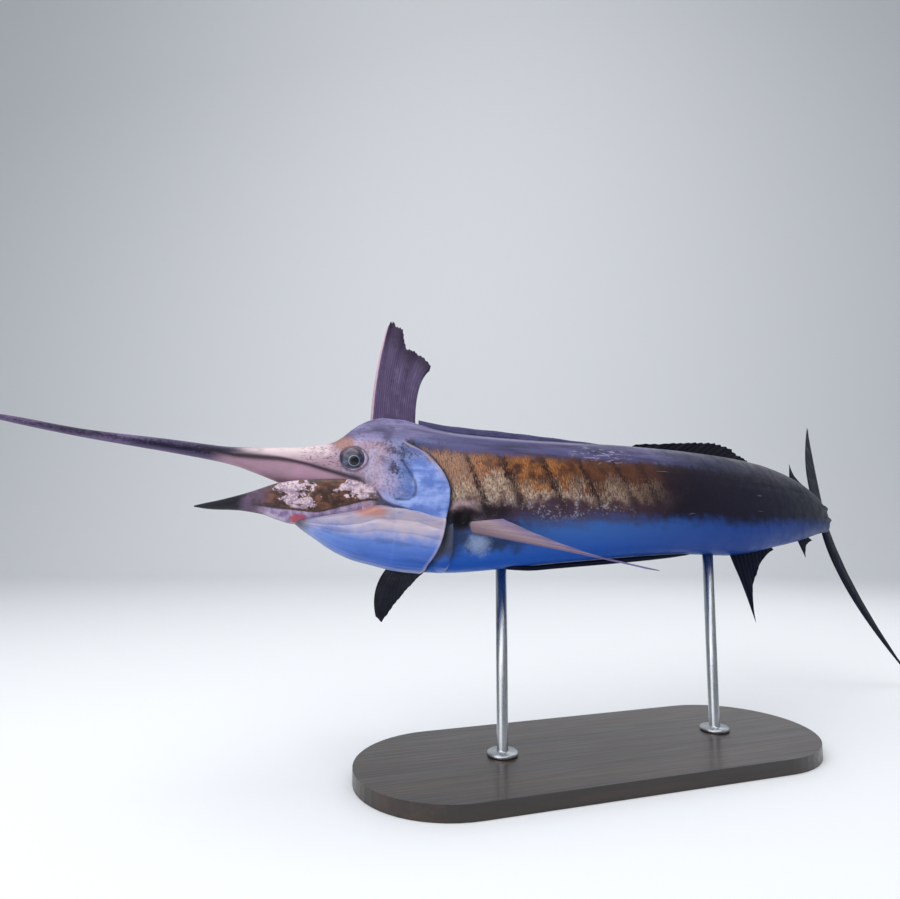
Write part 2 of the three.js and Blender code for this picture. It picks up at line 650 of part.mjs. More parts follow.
const outline = new THREE.Shape();
const straight = baseLength / 2 - baseWidth / 2;
outline.moveTo(-straight, -baseWidth / 2);
outline.lineTo(straight, -baseWidth / 2);
outline.absarc(straight, 0, baseWidth / 2, -Math.PI / 2, Math.PI / 2);
outline.lineTo(-straight, baseWidth / 2);
outline.absarc(-straight, 0, baseWidth / 2, Math.PI / 2, (Math.PI * 3) / 2);
const baseGeometry = new THREE.ExtrudeGeometry(outline, {
  depth: baseThickness, bevelEnabled: false, curveSegments: 14,
});
const baseMiddle = at(baseMiddleStation, 0, 0);
baseGeometry.rotateZ(Math.atan2(rodFoot[1].y - rodFoot[0].y, rodFoot[1].x - rodFoot[0].x));
baseGeometry.translate(baseMiddle.x, baseMiddle.y, floorLevel);
const rods = rodFoot.map((foot) => {
  const top = foot.z + 30;
  const length = top - (baseTop + gap);
  const geometry = new THREE.CylinderGeometry(rodRadius, rodRadius, length, 28);
  geometry.rotateX(Math.PI / 2);
  geometry.translate(foot.x, foot.y, baseTop + gap + length / 2);
  return rooted(solidOf(geometry));
});
const standParts = {
  stand_base: [solidOf(baseGeometry), "base"],
  stand_rod_front: [rods[0], "rod"],
  stand_rod_rear: [rods[1], "rod"],
};

const materials = {
  bill: new THREE.MeshStandardMaterial({ color: 0x4e4458, roughness: 0.5, metalness: 0 }),
  head: new THREE.MeshStandardMaterial({ color: 0x8f8ea6, roughness: 0.35, metalness: 0.1 }),
  jaw: new THREE.MeshStandardMaterial({ color: 0x7a5a4c, roughness: 0.5, metalness: 0 }),
  belly: new THREE.MeshStandardMaterial({ color: 0x8fa9cf, roughness: 0.35, metalness: 0.1 }),
  flank: new THREE.MeshStandardMaterial({ color: 0x6b5345, roughness: 0.35, metalness: 0.1 }),
  eye: new THREE.MeshStandardMaterial({ color: 0x20222c, roughness: 0.1, metalness: 0 }),
  fin: new THREE.MeshStandardMaterial({ color: 0x23243a, roughness: 0.55, metalness: 0 }),
  pale_fin: new THREE.MeshStandardMaterial({ color: 0x9c7f86, roughness: 0.55, metalness: 0 }),
  base: new THREE.MeshStandardMaterial({ color: 0x2b2a2a, roughness: 0.5, metalness: 0 }),
  rod: new THREE.MeshStandardMaterial({ color: 0xa9acb0, roughness: 0.3, metalness: 0.9 }),
};

// The origin is the middle of the underside of the whole model's box.
const allParts = Object.entries({ ...fleshParts, ...finParts, ...standParts });
const box = new THREE.Box3();
for (const [, [solid]] of allParts) {
  const { min, max } = solid.boundingBox();
  box.expandByPoint(new THREE.Vector3(...min)).expandByPoint(new THREE.Vector3(...max));
}
const toOrigin = [-(box.min.x + box.max.x) / 2, -(box.min.y + box.max.y) / 2, -box.min.z];

const sailfish = new THREE.Group();
for (const [name, [solid, finish]] of allParts) {
  const moved = solidOf(geometryOf(solid.translate(toOrigin)));
  const mesh = new THREE.Mesh(geometryOf(largest(moved)), materials[finish]);
  mesh.name = name;
  sailfish.add(mesh);
}

export default sailfish;
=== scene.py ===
# A life-size sailfish on its display stand: mouth open, sail mostly folded, tail swung away from the camera.
import math

import bmesh
import bpy
import numpy as np
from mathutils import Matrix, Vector


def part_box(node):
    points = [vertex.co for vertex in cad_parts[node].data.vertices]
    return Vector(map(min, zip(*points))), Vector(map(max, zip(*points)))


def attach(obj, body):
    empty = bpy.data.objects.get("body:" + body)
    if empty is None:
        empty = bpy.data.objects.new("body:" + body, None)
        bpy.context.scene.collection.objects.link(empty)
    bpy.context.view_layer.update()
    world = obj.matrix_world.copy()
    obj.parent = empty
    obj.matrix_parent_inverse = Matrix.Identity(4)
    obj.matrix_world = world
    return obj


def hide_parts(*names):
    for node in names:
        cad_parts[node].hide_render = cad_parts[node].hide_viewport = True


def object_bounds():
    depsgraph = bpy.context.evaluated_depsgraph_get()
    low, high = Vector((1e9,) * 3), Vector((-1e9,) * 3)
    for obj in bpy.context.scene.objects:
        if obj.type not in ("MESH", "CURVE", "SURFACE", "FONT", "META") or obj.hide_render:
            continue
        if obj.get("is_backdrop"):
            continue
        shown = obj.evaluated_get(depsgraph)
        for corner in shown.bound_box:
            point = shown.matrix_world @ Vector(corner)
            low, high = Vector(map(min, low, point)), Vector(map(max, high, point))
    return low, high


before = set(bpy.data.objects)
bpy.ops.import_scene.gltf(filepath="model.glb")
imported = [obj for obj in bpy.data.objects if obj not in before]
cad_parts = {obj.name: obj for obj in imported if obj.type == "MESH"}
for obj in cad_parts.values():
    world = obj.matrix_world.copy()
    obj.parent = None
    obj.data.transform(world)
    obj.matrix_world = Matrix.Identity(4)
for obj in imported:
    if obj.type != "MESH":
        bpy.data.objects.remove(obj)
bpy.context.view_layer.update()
print("stage: frame loaded")

# The body's own coordinates, in millimetres: station along the fish (0 at the lower jaw's tip), side (plus is
# the fish's right) and height over the backbone line. They're the same curves as the solids have.
body = dict(forkStation=1758, frontYaw=16.7, tailYaw=55, bendStart=462.5, bendEnd=1850, bendPower=1.65,
            pitch=1.5, headLift=5.2, liftFade=(148, 592), tailDrop=8.5, dropFade=(1295, 1850), bank=14.5,
            straightFrom=1735, stalkEnd=1686, gillEnd=462, anchorStation=444, anchor=(-33, 1240, 48),
            lineSpan=(-400, 2305), lineStep=5.)
rng = np.random.default_rng(7)


def smooth(a, b, x):
    t = np.clip((np.asarray(x, float) - a) / (b - a), 0, 1)
    return t * t * (3 - 2 * t)


def bell(x):
    return np.exp(-x ** 2)


# A curve through a few points that never overshoots them.
def through(points):
    x, y = np.array(points, float).T
    run = np.diff(x)
    slope = np.diff(y) / run
    product = slope[:-1] * slope[1:]
    total = np.where(product > 0, slope[:-1] + slope[1:], 1)
    tangent = np.concatenate([[slope[0]], np.where(product > 0, 2 * product / total, 0), [slope[-1]]])

    def value(s):
        s = np.clip(np.asarray(s, float), x[0], x[-1])
        i = np.clip(np.searchsorted(x, s, side="right") - 1, 0, len(run) - 1)
        t = (s - x[i]) / run[i]
        lift = run[i] * t * (1 - t) * ((1 - t) * (tangent[i] - slope[i]) - t * (tangent[i + 1] - slope[i]))
        return y[i] + (y[i + 1] - y[i]) * t + lift
    return value


def direction(s):
    s = np.minimum(s, body["straightFrom"])
    bend = np.clip((s - body["bendStart"]) / (body["bendEnd"] - body["bendStart"]), 0, 1) ** body["bendPower"]
    yaw = np.radians(body["frontYaw"] + (body["tailYaw"] - body["frontYaw"]) * bend)
    pitch = -np.radians(body["pitch"] + body["headLift"] * (1 - smooth(*body["liftFade"], s))
                        + body["tailDrop"] * smooth(*body["dropFade"], s))
    return np.stack([np.cos(yaw) * np.cos(pitch), np.sin(yaw) * np.cos(pitch), np.sin(pitch)], -1)


lineStations = np.arange(*body["lineSpan"], body["lineStep"])
lineRuns = direction((lineStations[1:] + lineStations[:-1]) / 2) * body["lineStep"]
linePoints = np.vstack([np.zeros(3), np.cumsum(lineRuns, 0)])


def onLine(s):
    return np.stack([np.interp(s, lineStations, linePoints[:, k]) for k in range(3)], -1)


lineShift = np.array(body["anchor"], float) - onLine(body["anchorStation"])


# Points of the fish in the frame whose origin is the camera, in millimetres.
def fromCamera(s, side, height):
    s, side, height = np.broadcast_arrays(*(np.asarray(v, float) for v in (s, side, height)))
    along = direction(s)
    level = np.cross(np.array([0, 0, 1.]), along)
    level /= np.linalg.norm(level, axis=-1, keepdims=True)
    upright = np.cross(along, level)
    bank = math.radians(body["bank"])
    out = level * math.cos(bank) - upright * math.sin(bank)
    up = upright * math.cos(bank) + level * math.sin(bank)
    return onLine(s) + lineShift + out * side[..., None] + up * height[..., None]


# The solids' left eye says how far that frame is from the part's own.
eye = dict(radius=28, station=281, height=33, side=30, pupilDrop=.28, bulge=.04, bulgeFrom=.9)
eyeLow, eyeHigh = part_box("eye_left")
eyeMiddle = np.array((eyeLow + eyeHigh) / 2)
toPart = eyeMiddle - fromCamera(eye["station"], -eye["side"], eye["height"]) / 1000


def at(s, side, height):
    return fromCamera(s, side, height) / 1000 + toPart


camera = dict(lens=25.8, sensor=36, tilt=5.9)
cameraData = bpy.data.cameras.new("camera")
cameraData.lens, cameraData.sensor_width = camera["lens"], camera["sensor"]
cameraObject = bpy.data.objects.new("camera", cameraData)
cameraObject.location = toPart
cameraObject.rotation_euler = (math.radians(90 + camera["tilt"]), 0, 0)
bpy.context.scene.collection.objects.link(cameraObject)
bpy.context.scene.camera = cameraObject
print("stage: camera at", [round(float(v), 3) for v in toPart])

backHeight = through([
    (-333, 41), (-294, 41), (-160, 35), (-18, 38), (45, 38), (109, 44), (177, 54), (211, 62), (245, 74),
    (263, 88), (279, 105), (296, 119), (315, 130), (343, 138), (378, 138), (400, 134), (422, 128.5),
    (444, 123.5), (500, 117.5), (588, 114.5), (680, 113.5), (779, 115), (880, 117), (1000, 117), (1138, 115),
    (1295, 107), (1400, 94), (1480, 81), (1560, 66), (1630, 52), (1665, 46), (1686, 32)])
lipHeight = through([
    (-333, 40), (-294, 36.5), (-160, 28), (-18, 26), (45, 24), (80, 21), (146, 22), (192, 17), (233, 8),
    (274, -2), (320, -12), (380, -14), (444, -8), (600, -2), (1740, 0)])
undersideHeight = through([
    (-333, 39), (-294, 32), (-160, 21), (-18, 15), (50, 11), (82, 6), (115, -2), (151, -12), (200, -27),
    (260, -42), (300, -52), (338, -66), (434, -100), (470, -112)])
bellyHeight = through([
    (192, -84), (213, -97), (231, -107), (266, -127), (300, -140), (333, -147), (366, -153), (402, -155.5),
    (471, -155), (532, -151), (611, -143), (700, -135), (788, -128), (900, -120), (1012, -116), (1140, -119),
    (1220, -113), (1299, -102), (1380, -92), (1437, -84), (1500, -73), (1560, -62), (1630, -50), (1665, -45),
    (1686, -31)])
halfWidth = through([
    (-333, .8), (-325, 2.2), (-294, 4.6), (-160, 7.5), (-18, 11.5), (45, 14.5), (80, 18), (109, 22), (146, 27),
    (177, 32), (211, 37), (250, 43), (281, 48), (315, 54), (343, 58), (394, 65), (444, 71), (500, 75),
    (600, 77), (740, 76), (870, 74), (1000, 69), (1138, 61), (1295, 51), (1400, 43), (1480, 37), (1560, 30),
    (1610, 25), (1640, 21.5), (1668, 18), (1686, 9)])
gillEdge = through([
    (-150, 424), (-134, 433), (-116, 440), (-91, 446), (-65, 451), (-40, 456), (-18, 457), (7, 449), (29, 435),
    (51, 417), (63, 398), (75, 380)])

# What the skin does over its plain sections, in millimetres.
skin = dict(aroundCount=132, roundness=.88, upShare=.3, jawCorner=304, tuck=9,
            gillFrom=330, straightGill=446, gillLip=3, edgeSpan=(-150, 75),
            coverStandOff=6, coverStep=2.5, coverFade=45, coverTop=(50, 76),
            keelStandOff=6, keelLift=16, keelWidth=5, keelRise=(1580, 1640), keelFall=(1660, 1684),
            grooveDepth=2.2, grooveWidth=3.2, orbitRise=2.6, orbitRadius=25, orbitWidth=3.2, orbitSide=20,
            mouthFrom=40, mouthStep=3, lipRise=1.2, lipWidth=3, axilDepth=5, axilWidth=9,
            sideLineDepth=.8, sideLineWidth=2, sideLineHeight=30, sideLineRise=20)
cheekBottom = through([(296, -6), (304, -9), (316, -16), (342, -46), (388, -61), (434, -79), (470, -96)])
cheekGroove = [(368, 37), (382, 14), (394, -7), (394, -29), (383, -38), (359, -40)]
axilLine = [(478, -58), (470, -88), (486, -118)]
nostrils = [(229, 40, 1.6, 2.6, 3.5), (240, 41, 1, 2.4, 2)]  # station, height, stretch, radius and depth


def gillWarp(s, height):
    straight, lip, end = skin["straightGill"], skin["gillLip"], body["gillEnd"]
    edge = gillEdge(np.clip(height, *skin["edgeSpan"]))
    front = s + (edge - straight) * smooth(skin["gillFrom"], straight, s)
    rest = np.clip((s - straight - lip) / (end - straight - lip), 0, 1)
    behind = edge + lip + (end - edge - lip) * rest
    warped = np.where(s <= straight, front, np.where(s <= straight + lip, edge + (s - straight), behind))
    return np.where((s < skin["gillFrom"]) | (s > end), s, warped)


# How far points lie in front of the gill cover's edge; behind it this is below 0.
def beforeEdge(s, height):
    return gillEdge(np.clip(height, *skin["edgeSpan"])) - s


# The cover stands off most at its edge and sinks into the head in front of it.
def coverForm(before):
    return smooth(0, skin["coverStep"], before) * np.exp(-np.maximum(before, 0) / skin["coverFade"])


# Distance from points to a drawn line of (station, height) corners.
def lineDistance(s, height, corners):
    best = np.full(np.broadcast(s, height).shape, 1e9)
    for (x0, y0), (x1, y1) in zip(corners[:-1], corners[1:]):
        run = np.array([x1 - x0, y1 - y0], float)
        t = np.clip(((s - x0) * run[0] + (height - y0) * run[1]) / (run @ run), 0, 1)
        best = np.minimum(best, np.hypot(s - x0 - t * run[0], height - y0 - t * run[1]))
    return best


def skinRelief(s, side, height):
    before = beforeEdge(s, height)
    cover = coverForm(before) * (1 - smooth(*skin["coverTop"], height))
    relief = skin["coverStandOff"] * cover * (s > skin["gillFrom"])
    keel = smooth(*skin["keelRise"], s) * (1 - smooth(*skin["keelFall"], s))
    relief += skin["keelStandOff"] * keel * bell((np.abs(height) - skin["keelLift"]) / skin["keelWidth"])
    relief -= skin["grooveDepth"] * bell(lineDistance(s, height, cheekGroove) / skin["grooveWidth"])
    fromEye = np.hypot(s - eye["station"], (height - eye["height"]) * 1.05)
    orbit = bell((fromEye - skin["orbitRadius"]) / skin["orbitWidth"])
    relief += skin["orbitRise"] * orbit * (np.abs(side) > skin["orbitSide"])
    for station, up, stretch, radius, depth in nostrils:
        relief -= depth * bell(np.hypot((s - station) / stretch, height - up) / radius)
    overLip, mouth = height - lipHeight(s), skin["mouthFrom"]
    inMouth = (s > mouth) & (s < skin["jawCorner"])
    relief -= skin["mouthStep"] * smooth(mouth, 90, s) * smooth(0, 2, -overLip) * inMouth
    lipLength = smooth(mouth, 120, s) * (1 - smooth(290, 330, s))
    relief += skin["lipRise"] * bell((overLip - skin["lipWidth"]) / skin["lipWidth"]) * lipLength
    tucked = smooth(0, 4, cheekBottom(s) - height) * (s > skin["jawCorner"] - 3) * smooth(-1, .5, before)
    relief -= skin["tuck"] * tucked
    relief -= skin["axilDepth"] * bell(lineDistance(s, height, axilLine) / skin["axilWidth"]) * (side < 0)
    sideLine = skin["sideLineHeight"] + skin["sideLineRise"] * (1 - smooth(470, 560, s))
    sideGroove = bell((height - sideLine) / skin["sideLineWidth"]) * smooth(462, 500, s)
    return relief - skin["sideLineDepth"] * sideGroove


# Side and height of a section's points; top, middle and bottom are heights over the backbone line.
def sectionPoint(angle, top, middle, bottom, width):
    up, out = np.cos(angle), np.sin(angle)
    reach = np.where(up > 0, top - middle, middle - bottom)
    height = middle + np.sign(up) * reach * np.abs(up) ** skin["roundness"]
    return np.sign(out) * width * np.abs(out) ** skin["roundness"], height


# The same, with the rows of points moved along the fish so that one of them follows the gill edge.
def gillSection(s, angle, curves):
    plainHeight = sectionPoint(angle, *(curve(s) for curve in curves))[1]
    s = gillWarp(s, plainHeight)
    return (s, *sectionPoint(angle, *(curve(s) for curve in curves)))


def meshObject(name, points, faces):
    mesh = bpy.data.meshes.new(name)
    mesh.from_pydata(points.tolist(), [], faces)
    made = bmesh.new()
    made.from_mesh(mesh)
    bmesh.ops.recalc_face_normals(made, faces=made.faces)
    made.to_mesh(mesh)
    made.free()
    return smoothObject(name, mesh)


def smoothObject(name, mesh):
    mesh.polygons.foreach_set("use_smooth", [True] * len(mesh.polygons))
    piece = bpy.data.objects.new(name, mesh)
    bpy.context.scene.collection.objects.link(piece)
    return piece


# A closed mesh through rings, [ring, point, xyz], with a cap at both ends.
def ringMesh(name, rings):
    count, around = rings.shape[:2]
    i, j = np.meshgrid(np.arange(count - 1), np.arange(around), indexing="ij")
    a, b = i * around + j, i * around + (j + 1) % around
    faces = [tuple(q) for q in np.stack([a, b, b + around, a + around], -1).reshape(-1, 4).tolist()]
    points = np.vstack([rings.reshape(-1, 3), rings[0].mean(0), rings[-1].mean(0)])
    last = (count - 1) * around
    for k in range(around):
        faces.append((k, len(points) - 2, (k + 1) % around))
        faces.append((last + k, last + (k + 1) % around, len(points) - 1))
    return meshObject(name, points, faces)


# One value or three for each vertex, for the materials; the middles of caps take the first and last.
def keep(piece, name, *values):
    values = np.stack([np.asarray(v, float).ravel() for v in values], -1).astype(np.float32)
    kind, field = ("FLOAT_VECTOR", "vector") if values.shape[1] == 3 else ("FLOAT", "value")
    attribute = piece.data.attributes.new(name, kind, "POINT")
    short = len(piece.data.vertices) - len(values)
    values = np.concatenate([values, values[[0, -1]][:short]])
    attribute.data.foreach_set(field, values.ravel())


# A ring mesh given in body coordinates, which are kept on it in metres.
def ringSkin(name, s, side, height):
    piece = ringMesh(name, at(s, side, height))
    keep(piece, "place", s / 1000, side / 1000, height / 1000)
    return piece


def settled(piece, slotName, *nodes):
    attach(piece, "root")
    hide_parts(*nodes)
    return piece


def stations(*spans, last):
    return np.append(np.concatenate([np.arange(a, b, step) for a, b, step in spans]), last)


def wrapped(rows, around):
    return np.meshgrid(rows, np.linspace(0, 2 * np.pi, around, endpoint=False), indexing="ij")


ringStations = stations((-333, -322, 2), (-322, 90, 6), (90, 300, 2.5), (300, 309, 1), (309, 436, 2.5),
                        (436, 446, 1), (446, 450, .5), (450, 462, 2), (462, 1600, 5), (1600, 1660, 3),
                        (1660, 1686, 1.5), last=body["stalkEnd"])
ringS, ringAngle = wrapped(ringStations, skin["aroundCount"])
besideMouth = ringS < skin["jawCorner"]


def bodyBottom(s):
    return np.where(besideMouth, undersideHeight(s), bellyHeight(s))


skinS, side, height = gillSection(ringS, ringAngle, (backHeight, lipHeight, bodyBottom, halfWidth))
relief = skinRelief(skinS, side, height)
skinSide = side + relief * np.sin(ringAngle)
skinHeight = height + relief * np.cos(ringAngle) * skin["upShare"]
bodySkin = ringSkin("body_skin", skinS, skinSide, skinHeight)
lip = lipHeight(skinS)
reach = np.where(height > lip, backHeight(skinS) - lip, lip - bodyBottom(skinS))
keep(bodySkin, "level", (height - lip) / reach)
onCover = np.where(ringS <= skin["straightGill"] + .6, 1., 0.)
overCover = smooth(58, 80, skinHeight)
keep(bodySkin, "front", onCover * (1 - overCover) + (1 - smooth(360, 500, skinS)) * overCover)
fromGroove = np.where(besideMouth, 200., lineDistance(skinS, height, cheekGroove))
marks = fromGroove, beforeEdge(skinS, height), height - cheekBottom(skinS)
keep(bodySkin, "marks", *(mark / 1000 for mark in marks))
settled(bodySkin, "flank", "bill", "head", "body_front", "body_middle", "body_rear", "tail_stalk")
print("stage: body skin", len(bodySkin.data.polygons))

# Lower jaw: a trough with thin rims, its bony lip standing proud of the fold of skin below.
jaw = dict(outer=72, inner=36, rim=4.5, lipStandOff=2.2, lipFade=(80, 130), dropPower=.75, sidePower=.7,
           troughPower=.8, tongue=2.5, tongueHalf=6, tongueFade=(110, 160))
jawRim = through([(25, -74), (40, -69), (62, -62), (91, -51), (122, -38), (157, -23), (196, -15), (234, -10),
                  (270, -7), (310, -13), (350, -40)])
jawBottom = through([(25, -76), (45, -77), (101, -73), (137, -75), (161, -81), (190, -86), (230, -86),
                     (270, -80), (330, -68), (350, -66)])
jawHalf = through([(25, .8), (45, 5), (70, 9), (100, 13.5), (140, 22), (180, 31), (220, 38), (260, 44.5),
                   (300, 50), (350, 53)])
jawFloor = through([(25, -74.5), (70, -62.5), (100, -56), (130, -55), (170, -58), (220, -60), (270, -58),
                    (350, -52)])
jawLip = through([(25, -76), (80, -68), (113, -64), (177, -67), (222, -68), (272, -54), (321, -41),
                  (350, -44)])
jawStations = stations((25, 45, 1), (45, 350, 2.5), last=350)
jawS, outerAngle = np.meshgrid(jawStations, np.linspace(0, np.pi, jaw["outer"]), indexing="ij")
drop = np.sin(outerAngle) ** jaw["dropPower"]
across = np.cos(outerAngle)
outerSide = np.sign(across) * jawHalf(jawS) * np.abs(across) ** jaw["sidePower"] * (.9 + .1 * (1 - drop))
outerHeight = jawRim(jawS) + (jawBottom(jawS) - jawRim(jawS)) * drop
lipFade = smooth(*jaw["lipFade"], jawS)
proud = smooth(-1.5, 1.5, outerHeight - jawLip(jawS)) * lipFade
outerSide += np.sign(outerSide) * (proud - 1) * jaw["lipStandOff"] * lipFade
innerS, innerAngle = np.meshgrid(jawStations, np.linspace(0, np.pi, jaw["inner"]), indexing="ij")
wall = np.minimum(jaw["rim"], jawHalf(innerS) * .4)
floorHeight = np.minimum(jawFloor(innerS), jawRim(innerS) - .6)
innerSide = -np.cos(innerAngle) * (jawHalf(innerS) - wall)
innerHeight = jawRim(innerS) + (floorHeight - jawRim(innerS)) * np.sin(innerAngle) ** jaw["troughPower"]
innerHeight += jaw["tongue"] * bell(innerSide / jaw["tongueHalf"]) * smooth(*jaw["tongueFade"], innerS)
jawPairs = (jawS, innerS), (outerSide, innerSide), (outerHeight, innerHeight)
lowerJaw = ringSkin("lower_jaw_skin", *(np.concatenate(pair, 1) for pair in jawPairs))
keep(lowerJaw, "lip", np.concatenate([outerHeight - jawLip(jawS), np.full(innerS.shape, -40.)], 1) / 1000)
keep(lowerJaw, "inner", np.concatenate([np.zeros(jawS.shape), np.ones(innerS.shape)], 1))
settled(lowerJaw, "jaw", "lower_jaw")
print("stage: lower jaw", len(lowerJaw.data.polygons))

# Throat: branchiostegal skin spread below the jaw, its rays as low ridges that fan from the chin.
throat = dict(around=160, raysEachSide=6, rayHeight=1.6, rayRise=(205, 250), rayFall=(425, 445),
              coverFrom=360, tuck=8, tuckFade=(-26, -4))
throatTop = through([(192, -80), (231, -70), (300, -52), (340, -40), (462, -60)])
throatMiddle = through([(192, -82), (231, -86), (266, -84), (300, -76), (338, -62), (390, -64), (434, -79),
                        (462, -86)])
throatHalf = through([(192, 6), (205, 17), (231, 31), (266, 43), (300, 51), (338, 57), (394, 64.5), (434, 69),
                      (462, 72)])
throatStations = stations((192, 204, 1.5), (204, 436, 2.5), (436, 446, 1), (446, 450, .5), (450, 462, 2),
                          last=body["gillEnd"])
throatS, throatAngle = wrapped(throatStations, throat["around"])
ownS, side, height = gillSection(throatS, throatAngle, (throatTop, throatMiddle, bellyHeight, throatHalf))
fromBelly = (throatAngle - np.pi) / (np.pi / 2)
below = smooth(.02, .1, 1 - np.abs(fromBelly)) * smooth(.04, .16, np.abs(fromBelly))
rays = np.abs(np.sin(fromBelly * (throat["raysEachSide"] + .5) * np.pi)) ** .7
before, underCover = beforeEdge(ownS, height), ownS > throat["coverFrom"]
rayLength = smooth(*throat["rayRise"], ownS) * (1 - smooth(*throat["rayFall"], ownS))
relief = throat["rayHeight"] * (rays - .5) * below * rayLength
relief += skin["coverStandOff"] * coverForm(before) * underCover
relief -= throat["tuck"] * (1 - smooth(-1.5, .3, before)) * underCover * smooth(*throat["tuckFade"], before)
throatSkin = ringSkin("throat_skin", ownS, side + relief * np.sin(throatAngle),
                      height + relief * np.cos(throatAngle) * skin["upShare"])
keep(throatSkin, "ray", rays * below)
keep(throatSkin, "behind", before / 1000)
settled(throatSkin, "belly", "throat")
print("stage: throat", len(throatSkin.data.polygons))

# Eyes: a ball in its socket, with the pupil turned a little down.
eyes = []
for name, hand in (("eye_left", -1), ("eye_right", 1)):
    made = bmesh.new()
    bmesh.ops.create_uvsphere(made, u_segments=64, v_segments=40, radius=eye["radius"] / 1000)
    centre = at(eye["station"], hand * eye["side"], eye["height"])
    out = at(eye["station"], hand * (eye["side"] + 1), eye["height"] - eye["pupilDrop"]) - centre
    up = at(eye["station"], hand * eye["side"], eye["height"] + 1) - centre
    out /= np.linalg.norm(out)
    up -= out * (up @ out)
    up /= np.linalg.norm(up)
    co = np.array([v.co for v in made.verts])
    reach = co @ out / (eye["radius"] / 1000)
    bulge = 1 + eye["bulge"] * smooth(eye["bulgeFrom"], 1, reach)
    for vertex, point in zip(made.verts, co * bulge[:, None] + centre):
        vertex.co = point
    mesh = bpy.data.meshes.new(name + "_ball")
    made.to_mesh(mesh)
    made.free()
    ball = smoothObject(name + "_ball", mesh)
    keep(ball, "look", reach, co @ up / (eye["radius"] / 1000), reach * 0)
    eyes.append(settled(ball, "eye", name))
print("stage: eyes")

# Fins: each ray is a curve of three points; ridges stand on thin skin, and both faces have the same mesh.
# A fin's own dictionary says what differs from these values.
anyFin = dict(perGap=8, rows=48, raysPerGap=1, scallop=.02, ragged=.01, raggedPace=2.7, tipHalf=.35, wave=0,
              wavePace=2.1)


def bow(root, bend, tip, t):
    t = np.asarray(t, float)[..., None]
    root, bend, tip = (np.array(point, float) for point in (root, bend, tip))
    return (1 - t) ** 2 * root + 2 * t * (1 - t) * bend + t ** 2 * tip


def finPiece(name, rays, look, slotName, *nodes):
    look, rays = {**anyFin, **look}, np.array(rays, float)
    gaps = len(rays) - 1
    position = np.linspace(0, gaps, gaps * look["perGap"] + 1)
    fill = lambda i, k: np.interp(position, np.arange(gaps + 1), rays[:, i, k])
    columns = np.stack([np.stack([fill(i, k) for k in range(3)], -1) for i in range(3)], 1)
    between = np.sin(position * np.pi * look["raysPerGap"]) ** 2
    uneven = np.interp(position * look["raggedPace"], np.arange(200), rng.random(200))
    cut = look["scallop"] * between + look["ragged"] * uneven
    cut[0] = cut[-1] = 0
    t = np.linspace(0, 1, look["rows"] + 1)
    places = np.stack([bow(*column, t * (1 - c)) for column, c in zip(columns, cut)])
    middle = at(places[..., 0], places[..., 1], places[..., 2])
    normal = np.cross(np.gradient(middle, axis=0), np.gradient(middle, axis=1))
    normal /= np.linalg.norm(normal, axis=-1, keepdims=True) + 1e-12
    ridges = (1 - between)[:, None] ** 3
    thick = look["skinHalf"] + (look["rayHalf"] - look["skinHalf"]) * ridges
    half = thick + (look["tipHalf"] - thick) * t[None, :] ** 1.3
    wave = look["wave"] * np.sin(position * look["wavePace"])[:, None] * t[None, :] ** 1.5
    middle = middle + normal * (wave / 1000)[..., None]
    faces = [middle + normal * (hand * half / 1000)[..., None] for hand in (1, -1)]
    wide, tall = middle.shape[:2]
    i, j = np.meshgrid(np.arange(wide - 1), np.arange(tall - 1), indexing="ij")
    a, total = (i * tall + j).ravel(), wide * tall
    quads = np.concatenate([np.stack([a, a + tall, a + tall + 1, a + 1], -1),
                            np.stack([a, a + 1, a + tall + 1, a + tall], -1) + total]).tolist()
    loop = [*range(tall), *range(2 * tall - 1, total, tall), *range(total - 2, total - tall - 1, -1),
            *range(total - 2 * tall, 0, -tall)]
    for first, second in zip(loop, loop[1:] + loop[:1]):
        quads.append([first, second, second + total, first + total])
    piece = meshObject(name, np.concatenate([face.reshape(-1, 3) for face in faces]), quads)
    keep(piece, "place", *(np.tile(places[..., k].ravel(), 2) / 1000 for k in range(3)))
    keep(piece, "fin", *(np.tile(np.broadcast_to(values, (wide, tall)).ravel(), 2)
                         for values in (position[:, None], t[None], ridges)))
    return settled(piece, slotName, *nodes)


def straightRays(roots, rootHeight, tips, lean=.35, rise=.55):
    made = []
    for root, (s, h) in zip(np.linspace(*roots, len(tips)), tips):
        low = rootHeight(root)
        made.append([(root, 0, low), (root + (s - root) * lean, 0, low + (h - low) * rise), (s, 0, h)])
    return made


lobe = dict(rootFrom=316, rootLength=93, rootHeight=118, lean=(1.5, 2.5), rise=(.5, .26), rayHalf=1.7,
            skinHalf=1., raysPerGap=2, perGap=12, scallop=.012, ragged=.032, wave=2)
lobeTips = [(342, 350), (349, 362), (356, 367), (367, 357), (379, 348), (384, 326), (390, 306), (401, 304),
            (414, 297), (430, 287), (447, 271), (443, 260)]
lobeRays = []
for k, (s, h) in enumerate(lobeTips):
    share = k / (len(lobeTips) - 1)
    root, low = lobe["rootFrom"] + lobe["rootLength"] * share, lobe["rootHeight"]
    bendStation = root - lobe["lean"][0] - lobe["lean"][1] * share
    bendHeight = low + (h - low) * (lobe["rise"][0] + lobe["rise"][1] * share ** 2)
    lobeRays.append([(root, 0, low), (bendStation, 0, bendHeight), (s, 0, h)])
finPiece("sail_lobe", lobeRays, lobe, "fin", "dorsal_fin_front")

